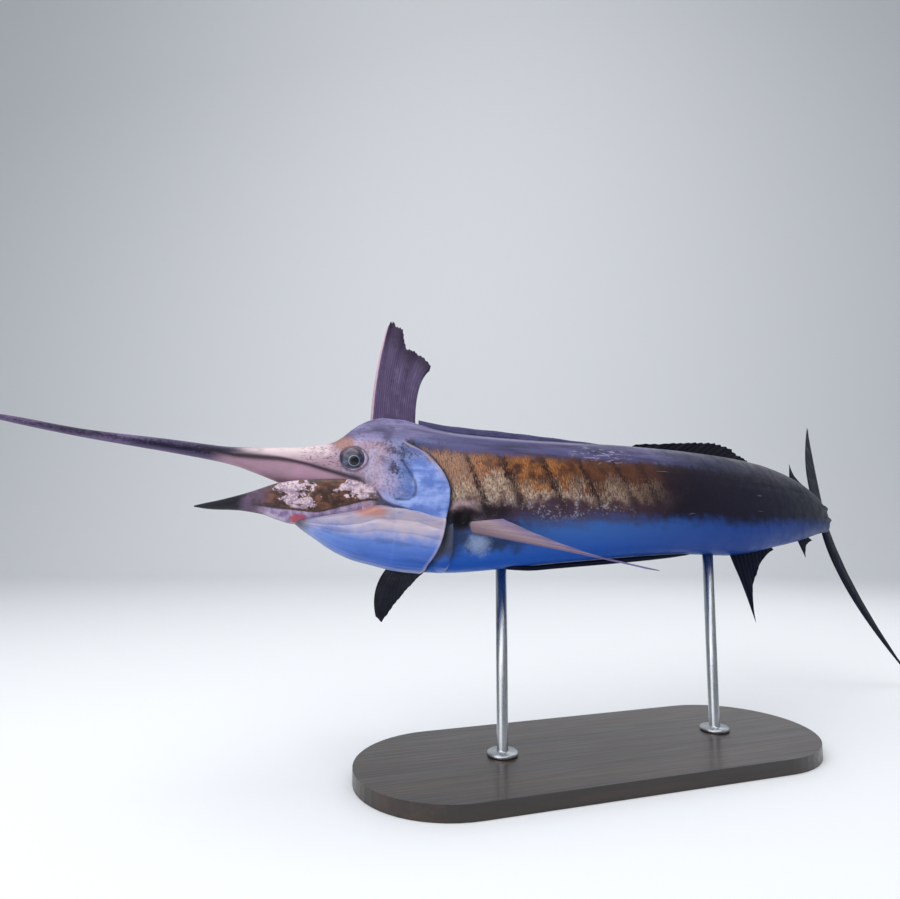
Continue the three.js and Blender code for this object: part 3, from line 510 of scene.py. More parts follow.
# The folded length of the sail lies in its groove, as a pleated ridge.
folded = dict(span=(416, 884), rows=150, around=40, half=6.8, pleats=7, pleatDepth=.22, sunk=14,
              thinFront=(406, 40), thinRear=(892, 70), ripple=.4, ripplePace=.09)
foldedTop = through([(416, 145), (440, 141.5), (470, 139), (510, 137), (590, 134.5), (640, 132), (690, 129.5),
                     (781, 124.5), (840, 121.5), (884, 120)])
foldS, foldAngle = wrapped(np.linspace(*folded["span"], folded["rows"]), folded["around"])
low, high = backHeight(foldS) - folded["sunk"], foldedTop(foldS)
(front, frontRun), (rear, rearRun) = folded["thinFront"], folded["thinRear"]
taper = np.minimum(1, np.minimum((foldS - front) / frontRun, (rear - foldS) / rearRun))
pleat = 1 - folded["pleatDepth"] + folded["pleatDepth"] * np.cos(foldAngle * folded["pleats"]) ** 2
ripple = folded["ripple"] * np.sin(foldS * folded["ripplePace"] + foldAngle * 2)
foldHeight = (low + high) / 2 + np.cos(foldAngle) * (high - low) / 2 + ripple
foldedSail = ringSkin("sail_folded", foldS, np.sin(foldAngle) * folded["half"] * taper * pleat, foldHeight)
keep(foldedSail, "fin", foldAngle * folded["pleats"] / np.pi, (foldHeight - low) / (high - low), pleat)
settled(foldedSail, "fin", "dorsal_fin_folded")

rearSail = dict(span=(888, 1262), rays=19, sunk=14, lean=.45, arch=5, rayHalf=1.7, skinHalf=.8, perGap=6,
                rows=24, scallop=.07, ragged=.03, wave=1)
rearTop = through([(884, 120), (933, 130), (1014, 138), (1095, 147), (1183, 153), (1232, 147), (1262, 131),
                   (1310, 112)])
rearReach = through([(888, 40), (1000, 78), (1130, 90), (1200, 74), (1262, 48)])
rearRays = []
for root in np.linspace(*rearSail["span"], rearSail["rays"]):
    tip, base = root + rearReach(root), backHeight(root) - rearSail["sunk"]
    top = rearTop(tip)
    bend = (root + (tip - root) * rearSail["lean"], 0, (base + top) / 2 + rearSail["arch"])
    rearRays.append([(root, 0, base), bend, (tip, 0, top)])
finPiece("sail_rear", rearRays, rearSail, "fin", "dorsal_fin_rear")

smallFin = dict(rayHalf=1.5, skinHalf=.7, rows=20, tipHalf=.4, scallop=.06)
analFin = dict(rayHalf=1.7, skinHalf=.7, rows=40, scallop=.03, wave=1)
smallBack = straightRays((1492, 1540), lambda s: backHeight(s) - 9, [
    (1510, 110), (1523, 130), (1527, 108), (1541, 93), (1588, 76)])
smallBelly = straightRays((1434, 1488), lambda s: bellyHeight(s) + 8, [
    (1444, -112), (1449, -126), (1461, -108), (1476, -93), (1524, -79)])
anal = straightRays((1140, 1292), lambda s: bellyHeight(s) + 10, [
    (1162, -190), (1172, -268), (1178, -222), (1187, -199), (1199, -180), (1212, -165), (1225, -152),
    (1239, -139), (1256, -127), (1276, -117), (1306, -107)])
finPiece("dorsal_small", smallBack, smallFin, "fin", "second_dorsal_fin")
finPiece("anal_small", smallBelly, smallFin, "fin", "second_anal_fin")
finPiece("anal_main", anal, analFin, "fin", "anal_fin")

# Tail fin: two long swept lobes that meet at the fork.
tail = dict(rays=8, gap=.3, rootFrom=1652, rootRun=26, rootSide=4, rootSpread=38, innerBend=(1718, 3),
            forkSide=6, leadStep=5, rayHalf=2.9, skinHalf=1.9, tipHalf=.6, scallop=.004, ragged=.004)


def tailLobe(sign, tip, leadBend, trailBend):
    middle = sign * tail["gap"] / 2
    tip, leadBend = np.array(tip, float), np.array(leadBend, float)
    innerBend = np.array([*tail["innerBend"], middle])
    made = []
    for k in range(tail["rays"]):
        share = k / (tail["rays"] - 1)
        root = (tail["rootFrom"] + tail["rootRun"] * share, tail["rootSide"] * (1 - share),
                sign * tail["rootSpread"] * (1 - share) + middle * share)
        if share < .25:
            end = tip + np.array([1, 0, -sign]) * tail["leadStep"] * k
        else:
            fork = (body["forkStation"], tail["forkSide"], middle)
            end = bow(tip, trailBend, fork, min(max((share - .2) / .8, 0), 1))
        made.append([root, leadBend * (1 - share) + innerBend * share, end])
    return made


upperLobe = tailLobe(1, (1968, 2, 357), (1735, 22, 160), (1825, 5, 150))
lowerLobe = tailLobe(-1, (1992, -46, -435), (1738, 34, -185), (1820, 12, -190))
finPiece("tail_upper", upperLobe, tail, "fin", "caudal_fin_upper")
finPiece("tail_lower", lowerLobe, tail, "fin", "caudal_fin_lower")

# Side fins: the near one trails along the flank, the far one reaches out and down.
sideFin = dict(rayHalf=1.9, skinHalf=1., tipHalf=.45, scallop=.008, ragged=.006, rows=60, wave=.8, perGap=6)
nearFin = dict(lead=(478, -56, -91), trail=(480, -64, -76), leadTip=(786, -146, -174), tip=(811, -150, -178),
               tipBend=(685, -118, -149), trailTip=(552, -80, -71), leadBow=(0, 0, 8), count=17)
farFin = dict(lead=(458, 54, -80), trail=(500, 60, -102), leadTip=(400, 318, -201), tip=(420, 360, -209),
              tipBend=(446, 262, -148), trailTip=(480, 140, -112), leadBow=(-78, 0, 30), count=15)


def pectoral(lead, trail, leadTip, tip, tipBend, trailTip, leadBow, count):
    lead, trail, leadBow = (np.array(point, float) for point in (lead, trail, leadBow))
    made = []
    for k in range(count):
        share = k / (count - 1)
        root = lead + (trail - lead) * share
        end = np.array(leadTip, float)
        if k:
            end = bow(tip, tipBend, trailTip, ((k - 1) / (count - 2)) ** .8)
        made.append([root, (root + end) / 2 + leadBow * (1 - share), end])
    return made


finPiece("side_fin_near", pectoral(**nearFin), sideFin, "pale_fin", "pectoral_fin_left")
finPiece("side_fin_far", pectoral(**farFin), sideFin, "fin", "pectoral_fin_right")

# Pelvic fins: two thin ribbons in the belly's groove.
pelvic = dict(span=(520, 1012), rows=150, around=24, clear=1.2, sunk=13, sunkUntil=640, apart=9, closing=5.6,
              closedFrom=700, halfSide=2.6)
pelvicDepth = through([(520, 2.4), (600, 3.4), (660, 4.6), (850, 5), (960, 3.2), (1012, .9)])
for name, node, hand in (("pelvic_near", "pelvic_fin_left", -1), ("pelvic_far", "pelvic_fin_right", 1)):
    start, end = pelvic["span"]
    pelvicS, pelvicAngle = wrapped(np.linspace(start, end, pelvic["rows"]), pelvic["around"])
    half = pelvicDepth(pelvicS)
    sunk = pelvic["sunk"] * (1 - smooth(start, pelvic["sunkUntil"], pelvicS))
    pelvicHeight = bellyHeight(pelvicS) - half - pelvic["clear"] + sunk + np.cos(pelvicAngle) * half
    fromMiddle = hand * (pelvic["apart"] - pelvic["closing"] * smooth(start, pelvic["closedFrom"], pelvicS))
    fluted = np.minimum(pelvic["halfSide"], half) * (.8 + .2 * np.cos(pelvicAngle * 4))
    ribbon = ringSkin(name, pelvicS, fromMiddle + np.sin(pelvicAngle) * fluted, pelvicHeight)
    keep(ribbon, "fin", pelvicAngle * 2, (pelvicS - start) / (end - start), np.abs(np.cos(pelvicAngle * 2)))
    settled(ribbon, "fin", node)
print("stage: fins")

# Stand: the board keeps its shape with a softened edge; the rods get a round foot, given as a profile of
# radius and height.
stand = dict(rodRadius=11, around=64, boardEdge=4, edgeSteps=3, edgeAngle=50, topGap=2,
             foot=[(29, 0), (30, 1), (30, 5), (28, 7), (14, 7), (11.8, 8.5), (11, 11)])
rods = []
for node in ("stand_rod_front", "stand_rod_rear"):
    low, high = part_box(node)
    centre = (low + high) / 2
    profile = [(r / 1000, low.z + z / 1000) for r, z in stand["foot"]]
    profile.append((stand["rodRadius"] / 1000, high.z - stand["topGap"] / 1000))
    turn = np.linspace(0, 2 * np.pi, stand["around"], endpoint=False)
    rings = [[(centre.x + r * np.cos(a), centre.y + r * np.sin(a), z) for a in turn] for r, z in profile]
    rods.append(settled(ringMesh(node + "_turned", np.array(rings)), "rod", node))
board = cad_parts["stand_base"]
edge = board.modifiers.new("edge", "BEVEL")
edge.width, edge.segments = stand["boardEdge"] / 1000, stand["edgeSteps"]
edge.limit_method, edge.angle_limit = "ANGLE", math.radians(stand["edgeAngle"])
print("stage: stand")


# One wrapped socket of a material's node tree; sums on it add Math nodes. Names of colours that it blends
# are looked up in the material's palette.
class Wire:
    def __init__(self, tree, palette, socket=None):
        self.tree, self.palette, self.socket = tree, palette, socket

    def node(self, kind, settings=None, sockets=None, output=0):
        made = self.tree.nodes.new("ShaderNode" + kind)
        for name, value in (settings or {}).items():
            setattr(made, name, value)
        for name, value in (sockets or {}).items():
            if isinstance(value, Wire):
                self.tree.links.new(value.socket, made.inputs[name])
            else:
                made.inputs[name].default_value = value
        return Wire(self.tree, self.palette, made.outputs[output])

    def maths(self, operation, *values):
        return self.node("Math", {"operation": operation}, dict(enumerate(values)))

    def __add__(self, other): return self.maths("ADD", self, other)
    def __radd__(self, other): return self.maths("ADD", other, self)
    def __sub__(self, other): return self.maths("SUBTRACT", self, other)
    def __rsub__(self, other): return self.maths("SUBTRACT", other, self)
    def __mul__(self, other): return self.maths("MULTIPLY", self, other)
    def __rmul__(self, other): return self.maths("MULTIPLY", other, self)
    def __truediv__(self, other): return self.maths("DIVIDE", self, other)
    def __rtruediv__(self, other): return self.maths("DIVIDE", other, self)
    def __pow__(self, other): return self.maths("POWER", self, other)
    def __rpow__(self, other): return self.maths("POWER", other, self)
    def size(self): return self.maths("ABSOLUTE", self)
    def above(self, other): return self.maths("MAXIMUM", self, other)
    def below(self, other): return self.maths("MINIMUM", self, other)

    def ramp(self, low, high, start=0., end=1.):
        return self.node("MapRange", {"interpolation_type": "SMOOTHSTEP"},
                         {0: self, 1: low, 2: high, 3: start, 4: end})

    def bump(self, middle, width):
        return self.maths("EXPONENT", ((self - middle) / width) ** 2 * -1)

    def blend(self, *tones):
        first, second = (paint(self.palette[tone]) if isinstance(tone, str) else tone for tone in tones)
        return self.node("Mix", {"data_type": "RGBA"}, {0: self, 6: first, 7: second}, 2)

    def parts(self):
        split = self.node("SeparateXYZ", None, {0: self}).socket.node
        return [Wire(self.tree, self.palette, output) for output in split.outputs]

    def noise(self, scale, detail=4., rough=.55, stretch=(1, 1, 1)):
        moved = self.node("Mapping", None, {"Vector": self, "Scale": stretch})
        sockets = {"Vector": moved, "Scale": scale, "Detail": detail, "Roughness": rough}
        return self.node("TexNoise", None, sockets)

    def attribute(self, name, output="Vector"):
        return self.node("Attribute", {"attribute_name": name}, None, output)


def paint(text):
    parts = [int(text[k:k + 2], 16) / 255 for k in (1, 3, 5)]
    return tuple(c / 12.92 if c <= .04045 else ((c + .055) / 1.055) ** 2.4 for c in parts) + (1,)


# Colours laid over a first one, each through its own mask.
def layered(colour, *layers):
    for mask, tone in layers:
        colour = mask.blend(colour, tone)
    return colour


# How far a point lies from a spot; stretch makes the spot longer along the fish.
def awayFrom(s, h, spot, stretch=1):
    along = s - spot[0] if stretch == 1 else (s - spot[0]) / stretch
    return s.maths("SQRT", along ** 2 + (h - spot[1]) ** 2)


def material(name, palette=None):
    made = bpy.data.materials.new(name)
    made.use_nodes = True
    return made, Wire(made.node_tree, palette), made.node_tree.nodes["Principled BSDF"]


def dress(shader, wire, colour, roughness, height=None, depth=.001, **fixed):
    for socket, value in {"Base Color": colour, "Roughness": roughness, **fixed}.items():
        socket = socket.replace("_", " ")
        if isinstance(value, Wire):
            wire.tree.links.new(value.socket, shader.inputs[socket])
        else:
            shader.inputs[socket].default_value = value
    if height is not None:
        bump = wire.node("Bump", None, {"Strength": 1., "Distance": depth, "Height": height})
        wire.tree.links.new(bump.socket, shader.inputs["Normal"])


# Body colours: slate back, bronze flank with slanting dark bars, blue belly, lilac head. The bars are
# stations in millimetres; spots are places of single marks, as station and height in metres.
flesh = dict(back="#4a4770", backDark="#2b2946", backLight="#77729c", backRear="#0e1434", worn="#a9a2c0",
             bronze="#a06636", bronzeDark="#462b22", tan="#9c7a68", cream="#8f7c72", creamLight="#beab96",
             lowFlank="#3d3348", rear="#171221", tail="#080d26", belly="#3863a8", bellyLow="#1f55b0",
             bellyRear="#0a3480", bellyCloud="#8ea0c4", bellyShade="#27324f", bar="#1d1318", bill="#1d1830",
             billEdge="#67587a", snout="#d2bfc3", snoutPink="#9c7e8d", palate="#ab869b", lip="#1d1624",
             crown="#4c4766", crownLight="#7f78a2", cheek="#a99cb6", orange="#8f5d40", gill="#5a72b6",
             gillLight="#8fa3da", gillDark="#232436", axil="#0a080d", margin="#b39aa2")
bars = dict(stations=(508, 578, 663, 745, 826, 884, 940, 1010), slant=.34, width=.0058, wider=.0018,
            fade=.1, strength=1.4)
spots = dict(cloud=(.512, -.112), scrape=(.79, .072), axil=(.478, -.07), finShade=(.53, -.055),
             cheekPlate=(.364, 0), rust=(.262, .066), eye=(eye["station"] / 1000, eye["height"] / 1000))
bodyMaterial, w, shader = material("sailfish_skin", flesh)
place = w.attribute("place")
s, sideways, h = place.parts()
groove, behindEdge, overCheek = w.attribute("marks").parts()
lev = w.attribute("level", "Fac")  # 1 on the back, 0 at the lip's height, -1 on the belly
broad = place.noise(9, 3)
medium = place.noise(40, 4)
fine = place.noise(220, 3)
hatch = place.noise(560, 3, .6, (1, 1, .2))
streaks = place.noise(60, 5, .6, (.12, 1, 1))
scratchy = place.noise(240, 2, .5, (.045, 1, 1))
blotch = place.noise(20, 5, .65)
drift, mottle, grit = broad - .5, medium - .5, fine - .5
uneven = lev + mottle * .12 + grit * .06

# Back: slate with long streaks and paler lines, dark blue near the tail.
colour = layered(
    streaks.ramp(.3, .65).blend("backDark", "back"),
    ((broad * .6 + streaks * .4).ramp(.5, .72) * .75, "backLight"),
    ((s + drift * .2).ramp(.75, 1.2) * .85, "backRear"))

# Flank: bronze above and cream below, with dark flecks in upright rows, and the bars.
bronze = layered(
    medium.ramp(.35, .62).blend("bronzeDark", "bronze"),
    ((s + drift * .1).ramp(.55, .47) * .8, "tan"),
    (lev.ramp(.36, .6) * .6, "bronzeDark"),
    ((s + drift * .12).ramp(.64, .78) * .85, "bronzeDark"))
cream = fine.ramp(.35, .65).blend("cream", "creamLight")
creamMask = (lev + drift * .5 + (blotch - .5) * 1.1 + (hatch - .5) * .7).ramp(.17, -.05)
lowMask = (uneven + mottle * .4 + (blotch - .5) * .3 + (hatch - .5) * .3).ramp(-.1, -.36)
paleMask = (medium * .5 + fine * .5).ramp(.53, .6) * uneven.bump(-.3, .14) * s.bump(.68, .14)
slanted = s + h * bars["slant"] + mottle * .03 + grit * .02
barMask = None
for k, station in enumerate(bars["stations"]):
    width = bars["width"] + bars["wider"] * (k % 3)
    one = slanted.bump(station / 1000, width) * (1 - bars["fade"] * k)
    barMask = one if barMask is None else barMask.above(one)
brokenUp = .3 + (hatch * .5 + medium * .5).ramp(.38, .55) * .65
barMask = (barMask * bars["strength"]).below(1) * uneven.ramp(.6, .5) * uneven.ramp(-.46, -.2) * brokenUp
flank = layered(
    bronze,
    (creamMask * (.3 + medium.ramp(.35, .55) * .6) * s.ramp(.62, .9, 1, .4), cream),
    (hatch.ramp(.46, .6) * (.3 + medium.ramp(.3, .62) * .5), "bronzeDark"),
    (lowMask, fine.ramp(.3, .7).blend("lowFlank", "bronzeDark")),
    (paleMask * .7, "bellyCloud"),
    ((s + mottle * .06 + drift * .1 - lev * .05).ramp(.80, .99), "rear"),
    (barMask, "bar"))
edge = uneven + (place.noise(75, 4, .6, (1, 1, .25)) - .5) * .3
colour = layered(
    colour,
    (edge.ramp(.58, .46), flank),
    (s.ramp(.95, 1.35) * .8, "tail"),
    (lev.bump(.88, .035) * s.ramp(.9, .6) * .4, "worn"))

# Belly: blue, with a dark patch of painted shade and a pale cloud behind the side fin's root.
# The dark patch is painted shade on the low belly just behind the gill cover.
patch = (s + drift * .1).ramp(.66, .54) * (lev + mottle * .5).ramp(-.92, -.7)
cloud = awayFrom(s, h, spots["cloud"], 1.3) + grit * .012 + mottle * .02
belly = layered(
    lev.ramp(-.55, -.95).blend("belly", "bellyLow"),
    (patch * (.4 + medium.ramp(.3, .6) * .5), "bellyShade"),
    (cloud.ramp(.024, .006) * .8, "bellyCloud"),
    (s.ramp(.6, 1.2) * .85, "bellyRear"),
    (s.ramp(1.2, 1.6) * .5, "tail"))

# Scratches, then the shade under the side fin and behind the gill cover.
scars = scratchy.ramp(.7, .74) * s.ramp(.46, .52) * uneven.ramp(-.5, -.3) * broad.ramp(.42, .6)
scraped = (awayFrom(s, h, spots["scrape"], 3) + mottle * .03).ramp(.03, .01)
scars = scars.above(scraped * place.noise(170, 4, .7, (.3, 1, 1)).ramp(.52, .6))
fromAxil = place.noise(30, 3) * .02 + awayFrom(s, h, spots["axil"], 1.25)
finShade = awayFrom(s, h, spots["finShade"], 3) + mottle * .02
colour = layered(
    colour,
    ((uneven + (streaks - .5) * .2 + mottle * .15).ramp(-.34, -.66), belly),
    (scars * .45, "worn"),
    (fromAxil.bump(.038, .0045) * lev.ramp(-.4, -.3) * s.ramp(.54, .5) * .6, "margin"),
    (fromAxil.ramp(.036, .02) * sideways.size().ramp(0, .02), "axil"),
    (finShade.ramp(.02, .006) * .7, "axil"),
    (behindEdge.ramp(-.01, -.001) * .8 * lev.ramp(.62, .5), "axil"))

# Crown, gill cover, cheek and snout, in front of the gill opening.
crown = layered(
    streaks.ramp(.3, .7).blend("crown", "crownLight"),
    ((broad * .5 + medium * .5).ramp(.46, .6) * .5, "backDark"))
dapple = (medium * .65 + fine * .35).ramp(.47, .58)
upper = (h + mottle * .04).ramp(.018, .055)
cheekPlate = awayFrom(s, h, spots["cheekPlate"], .62) + mottle * .02
gill = layered(
    (streaks * .5 + medium * .5).ramp(.4, .62).blend("gill", "gillLight"),
    (upper * .6, "crown"),
    (dapple * upper * .8, "gillDark"),
    (cheekPlate.ramp(.046, .034) * (.25 + dapple * .65), "gillDark"))
cheek = layered(
    medium.ramp(.4, .65).blend("cheek", "snoutPink"),
    (fine.ramp(.5, .62) * .3, "gillDark"))
# The cream snout tone on the snout's upper side is a painted highlight over the pink.
snout = layered(
    (h - s * .12).ramp(-.01, .025).blend("snoutPink", "snout"),
    ((medium * .5 + streaks * .5).ramp(.5, .64) * .45, "crown"))
cheekMask = (s + mottle * .08 + grit * .04).ramp(.375, .32) * (h + mottle * .02).ramp(.082, .066)
freckles = (place.noise(300, 2, .5, (.5, 1, 1)).ramp(.56, .64) * s.ramp(.16, .22)
            * (s - h * .3).ramp(.3, .26) * lev.ramp(.0, .15))
rust = awayFrom(s, h, spots["rust"]) + grit * .014 + mottle * .02
socketRing = (awayFrom(s, h, spots["eye"]) + mottle * .006).bump(.0245, .0022)

# Bill, palate and lips, then the lines of the cheek, with painted shade in its groove and under its lower
# edge, and of the gill cover's edge.
billColour = layered(
    (streaks * .7 + fine * .3).ramp(.42, .68).blend("bill", "billEdge"),
    (lev.size().ramp(.45, .95) * .55, "billEdge"))
palate = (streaks * .6 + medium * .4).ramp(.35, .65).blend("palate", "snoutPink")
palateMask = lev.ramp(.0, -.06) * (s + mottle * .02).ramp(.03, .08) * s.ramp(.31, .3)
lipLine = (lev / s.ramp(.03, .2, .42, .07)).bump(0, 1) * s.ramp(-.02, .06) * s.ramp(.318, .29)
coverEdge = behindEdge.bump(.008, .0035) * h.ramp(-.03, .03) * lev.ramp(.66, .56)
headColour = layered(
    (h + mottle * .02 - (s - .34) * .12).ramp(.084, .07).blend(crown, gill),
    (cheekMask, cheek),
    ((s + mottle * .05 + (h - .05) * .3).ramp(.262, .225), snout),
    (freckles * .55, "lip"),
    (rust.ramp(.026, .01) * .7, "orange"),
    (socketRing * .7, "gillDark"),
    ((s + (streaks - .5) * .12 - lev * .02).ramp(.13, .04), billColour),
    (palateMask, palate),
    (lipLine * .9, "lip"),
    # Painted shade in the cheek's groove.
    (groove.ramp(.004, .001) * .6, "gillDark"),
    (coverEdge * medium.ramp(.3, .6, .2, .65), "margin"),
    # Painted shade in the tuck under the cheek's lower edge.
    (overCheek.ramp(.006, .001) * s.ramp(.315, .33) * .8, "gillDark"),
    (behindEdge.ramp(.0035, .0012) * lev.ramp(.66, .56) * .85, "axil"))
colour = w.attribute("front", "Fac").blend(colour, headColour)
dress(shader, w, colour, medium.ramp(.3, .7, .36, .52), fine * .4 + scratchy * .3 + streaks * .3, .0006,
      Specular_IOR_Level=.14, Coat_Weight=.03, Coat_Roughness=.25)
bodySkin.data.materials.append(bodyMaterial)
print("stage: body material")

# Lower jaw: brown worn skin with pale patches, a dark tip, and lilac folds below the lip.
jawPaint = dict(brown="#6f4636", brownDark="#33211d", chin="#594a68", worn="#d3bdc8", wornDark="#957c90",
                tip="#0d0e1a", fold="#75618a", foldPale="#b5a2bf", red="#a83440", inside="#8c606c",
                redSpot=(.197, -.08))
jawMaterial, w, shader = material("jaw_skin", jawPaint)
place = w.attribute("place")
s, _, h = place.parts()
lip = w.attribute("lip", "Fac")
medium, fine = place.noise(70, 4), place.noise(260, 3)
mottle, grit = medium - .5, fine - .5
patches = place.noise(24, 7, .62, (.6, 1, 1))
worn = (patches + grit * .09 + s.bump(.2, .032) * .09).ramp(.545, .57) * s.ramp(.12, .15) * lip.ramp(.0, .008)
wornTone = (fine * .5 + medium * .5).ramp(.42, .6).blend("wornDark", "worn")
fold = medium.ramp(.35, .7).blend("fold", "foldPale")
redSpot = (awayFrom(s, h, jawPaint["redSpot"], 1.8) + mottle * .012).ramp(.009, .005)
colour = layered(
    medium.ramp(.35, .65).blend("brownDark", "brown"),
    ((s + mottle * .05).ramp(.16, .12) * (.4 + medium.ramp(.35, .6) * .5), "chin"),
    (worn, wornTone),
    (place.noise(90, 4, .6, (.3, 1, 1)).ramp(.58, .64) * .7, "brownDark"),
    ((s + mottle * .02).ramp(.112, .092), "tip"),
    ((lip + grit * .002).ramp(.0005, -.0015) * s.ramp(.12, .15), fold),
    (w.attribute("inner", "Fac") * s.ramp(.1, .14), "inside"),
    ((lip + grit * .002).bump(.0012, .0016) * s.ramp(.1, .14) * .85, "brownDark"),
    (redSpot * (medium + .3).below(1), "red"))
dress(shader, w, colour, medium.ramp(.3, .7, .35, .55), medium * .5 + fine * .3 - worn * .25, .0012,
      Specular_IOR_Level=.35, Coat_Weight=.1, Coat_Roughness=.2)
lowerJaw.data.materials.append(jawMaterial)

# Throat: cream white at the top, blue below, with oblique streaks, shade between the rays and painted shade
# behind the gill cover's edge.
throatPaint = dict(cream="#bdaeba", blue="#5f80c8", deep="#2b5cb8", line="#2a3a70", rust="#a9654f",
                   rustSpot=(.318, -.062), tip=jawPaint["tip"], axil=flesh["axil"],
                   bellyLow=flesh["bellyLow"], bellyShade=flesh["bellyShade"])
throatMaterial, w, shader = material("throat_skin", throatPaint)
place = w.attribute("place")
s, _, h = place.parts()
ray, edgeBehind = w.attribute("ray", "Fac"), w.attribute("behind", "Fac")
medium, streaks = place.noise(45, 4), place.noise(70, 4, .6, (.25, 1, 1))
mottle = medium - .5
turned = w.node("Mapping", None, {"Vector": place, "Rotation": (0, .7, 0), "Scale": (.1, .5, .5)})
oblique = w.node("TexNoise", None, {"Vector": turned, "Scale": 130., "Detail": 4.})
rust = awayFrom(s, h, throatPaint["rustSpot"], 2.2) + mottle * .01
# Behind the cover's edge the throat takes the belly's tones, darkened as painted shade right under the cover's
# edge.
shadedSkinBehind = layered(
    (h + mottle * .02).ramp(-.15, -.125).blend("bellyLow", "bellyShade"),
    (edgeBehind.ramp(-.02, -.003) * .8, "axil"))
colour = layered(
    (h + mottle * .03 + (s - .3) * .08).ramp(-.118, -.078).blend("blue", "cream"),
    (streaks.ramp(.5, .7) * .5, "blue"),
    ((h + mottle * .02).ramp(-.105, -.145) * .85, "deep"),
    (oblique.ramp(.5, .7) * .28, "line"),
    (ray.ramp(.5, .05) * .35, "line"),
    (rust.ramp(.018, .006) * .75, "rust"),
    (edgeBehind.bump(.004, .003) * .4, "cream"),
    (edgeBehind.ramp(.001, -.001), shadedSkinBehind),
    (s.ramp(.225, .2) * .8, "tip"))
dress(shader, w, colour, medium.ramp(.3, .7, .3, .45), streaks * .6 + ray * .4, .0008,
      Specular_IOR_Level=.35, Coat_Weight=.1, Coat_Roughness=.18)
throatSkin.data.materials.append(throatMaterial)

# Eye: dark grey blue ball, flushed at its upper edge, with a black pupil in a pale ring.
eyePaint = dict(ball="#1b1d30", ballLight="#4a4f70", ring="#7d85a6", pupil="#010102", flush="#6d3b48")
eyeMaterial, w, shader = material("eye_glass", eyePaint)
reach, up, _ = w.attribute("look").parts()
clouded = w.attribute("look").noise(3.5, 5, .6)
colour = layered(
    clouded.ramp(.4, .7).blend("ball", "ballLight"),
    (up.ramp(.3, .55) * clouded.ramp(.4, .6) * .6, "flush"),
    (reach.ramp(.932, .938), "ring"),
    (reach.ramp(.948, .953), "pupil"))
dress(shader, w, colour, .3, Specular_IOR_Level=.4, Coat_Weight=.3, Coat_Roughness=.1)
for ball in eyes:
    ball.data.materials.append(eyeMaterial)


# Fins: streaks run along the rays; the near side fin and the sail's lengths have colours of their own.
def finMaterial(**own):
    paints = {**finPaint["others"], **own}
    made, w, shader = material(paints["name"], paints)
    place = w.attribute("place")
    across, along, ridge = w.attribute("fin").parts()
    mottle, rayForm = place.noise(45, 4), ridge * paints["rayShare"]
    fibres = w.node("CombineXYZ", None, {0: across * 9, 1: along * 2.2, 2: 0.}).noise(1., 4)
    colour = (rayForm + (fibres - .5) * .9 + (mottle - .5) * .6).ramp(.0, .7).blend("skin", "rays")
    if "tip" in paints:
        toTip = along + (mottle - .5) * .35 + (fibres - .5) * .3
        colour = toTip.ramp(*paints["tipFrom"]).blend(colour, "tip")
    if "spot" in paints:
        cells = w.node("TexVoronoi", None, {"Vector": place, "Scale": 48})
        colour = (cells.ramp(.3, .22) * paints["spotShare"]).blend(colour, "spot")
    width = paints["edgeWidth"]
    colour = (across + (mottle - .5) * .4).ramp(width, width * .3).blend(colour, "edge")
    roughness = mottle.ramp(.3, .7, .42, .6)
    dress(shader, w, colour, roughness, rayForm + fibres * .5, .0007, Specular_IOR_Level=.1)
    return made


finPaint = {
    "others": dict(name="dark_fin_skin", skin="#030818", rays="#0a1636", edge="#040a1c", edgeWidth=.5,
                   rayShare=.4),
    "sail_lobe": dict(name="sail_skin", skin="#4f4360", rays="#a093b4", edge="#c3a3b4", edgeWidth=.8,
                      rayShare=.12, tip="#382e42", tipFrom=(.66, 1.), spot="#15151f", spotShare=.25),
    "sail_folded": dict(name="sail_fold_skin", skin="#2c2b47", rays="#56527a", edge="#3f3c5e", edgeWidth=.1),
    "sail_rear": dict(name="sail_rear_skin", skin="#07080f", rays="#232038", edge="#0b0b14", edgeWidth=.3),
    "side_fin_near": dict(name="side_fin_skin", skin="#958089", rays="#b39ea4", edge="#756d9a",
                          edgeWidth=3.5, rayShare=.1, tip="#786a88", tipFrom=(.5, 1.))}
darkFin = finMaterial()
for piece in [o for o in bpy.context.scene.objects if o.type == "MESH" and "fin" in o.data.attributes]:
    own = finPaint.get(piece.name)
    piece.data.materials.append(finMaterial(**own) if own else darkFin)

# Stand: dark stained board and satin steel rods.
standPaint = dict(wood="#3a2a20", woodDark="#1d1511", steel="#b4b7bb", grainTurn=-.3)
woodMaterial, w, shader = material("stained_board", standPaint)
where = w.node("TexCoord", None, None, "Object")
turned = w.node("Mapping", None, {"Vector": where, "Rotation": (0, 0, standPaint["grainTurn"])})
grain = turned.noise(14, 6, .65, (.12, 2.2, 1))
pores = turned.noise(130, 3, .6, (.05, 2, 1))
colour = (grain * .7 + pores * .3).ramp(.35, .65).blend("woodDark", "wood")
dress(shader, w, colour, pores.ramp(.3, .7, .32, .48), pores * .6 + grain * .4, .0005,
      Coat_Weight=.3, Coat_Roughness=.18)
board.data.materials.clear()
board.data.materials.append(woodMaterial)
steelMaterial, w, shader = material("satin_steel")
brushed = w.node("TexCoord", None, None, "Object").noise(60, 3, .6, (12, 12, .4))
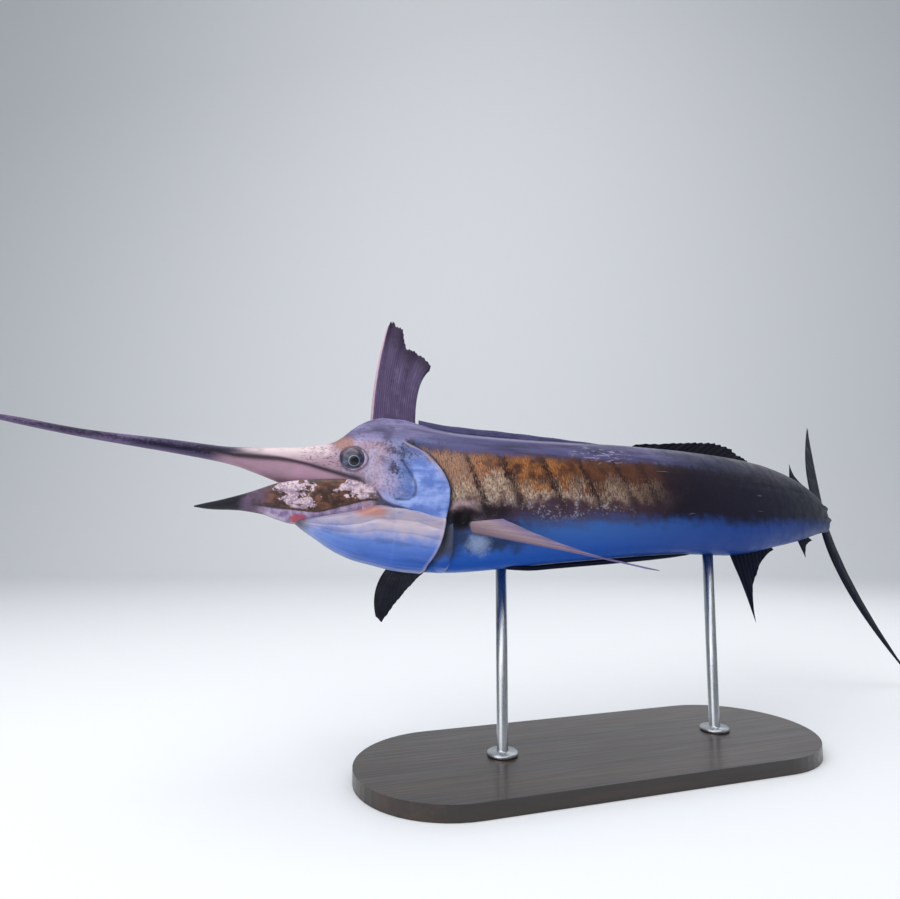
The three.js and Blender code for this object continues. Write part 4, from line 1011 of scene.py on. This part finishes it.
dress(shader, w, paint(standPaint["steel"]), brushed.ramp(.3, .7, .22, .34), brushed, .0002, Metallic=1.)
for rod in rods:
    rod.data.materials.append(steelMaterial)
print("stage: materials")

# Stage: a pale floor that runs into a pale wall through a round cove, under soft light, in metres.
stage = dict(floor="#e6e8ea", world="#e8eef8", worldStrength=.4, reach=9, coveFrom=3.6, cove=1.5, top=7.,
             below=.0005)
lamps = dict(  # place, size, power and target
    over=((-.6, -1.2, 3.5), 4.8, 118, (0, -.1, .5)),
    front=((-2.4, -2.9, 1.6), 3.4, 52, (0, -.1, .5)),
    back=((1.8, 1.6, 2.4), 2.4, 16, (0, -.1, .5)),
    wall=((0, .6, 6), 5, 95, (0, 5.1, 1.4)))
bpy.context.scene.view_settings.view_transform = "Standard"
reach, cove = stage["reach"], stage["cove"]
start, quarter = stage["coveFrom"], np.linspace(0, math.pi / 2, 16)
curve = [(-reach, 0.), *((start + cove * math.sin(a), cove - cove * math.cos(a)) for a in quarter),
         (start + cove, stage["top"])]
points = [(x, y, z - stage["below"]) for y, z in curve for x in (-reach, reach)]
floorMesh = bpy.data.meshes.new("floor")
floorMesh.from_pydata(points, [], [(k, k + 1, k + 3, k + 2) for k in range(0, len(points) - 2, 2)])
floor = smoothObject("floor", floorMesh)
floor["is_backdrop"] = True
floorMaterial, w, shader = material("floor_paint")
dress(shader, w, paint(stage["floor"]), .85)
floorMesh.materials.append(floorMaterial)
world = bpy.data.worlds.new("world")
world.use_nodes = True
background = world.node_tree.nodes["Background"].inputs
background["Color"].default_value = paint(stage["world"])
background["Strength"].default_value = stage["worldStrength"]
bpy.context.scene.world = world
for name, (spot, size, power, target) in lamps.items():
    light = bpy.data.lights.new(name, "AREA")
    light.shape, light.size, light.energy = "SQUARE", size, power
    lamp = bpy.data.objects.new(name, light)
    lamp.location = spot
    lamp.rotation_euler = (Vector(target) - Vector(spot)).to_track_quat("-Z", "Y").to_euler()
    bpy.context.scene.collection.objects.link(lamp)
low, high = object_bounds()
print("stage: finished", [round(v, 3) for v in (*low, *high)])
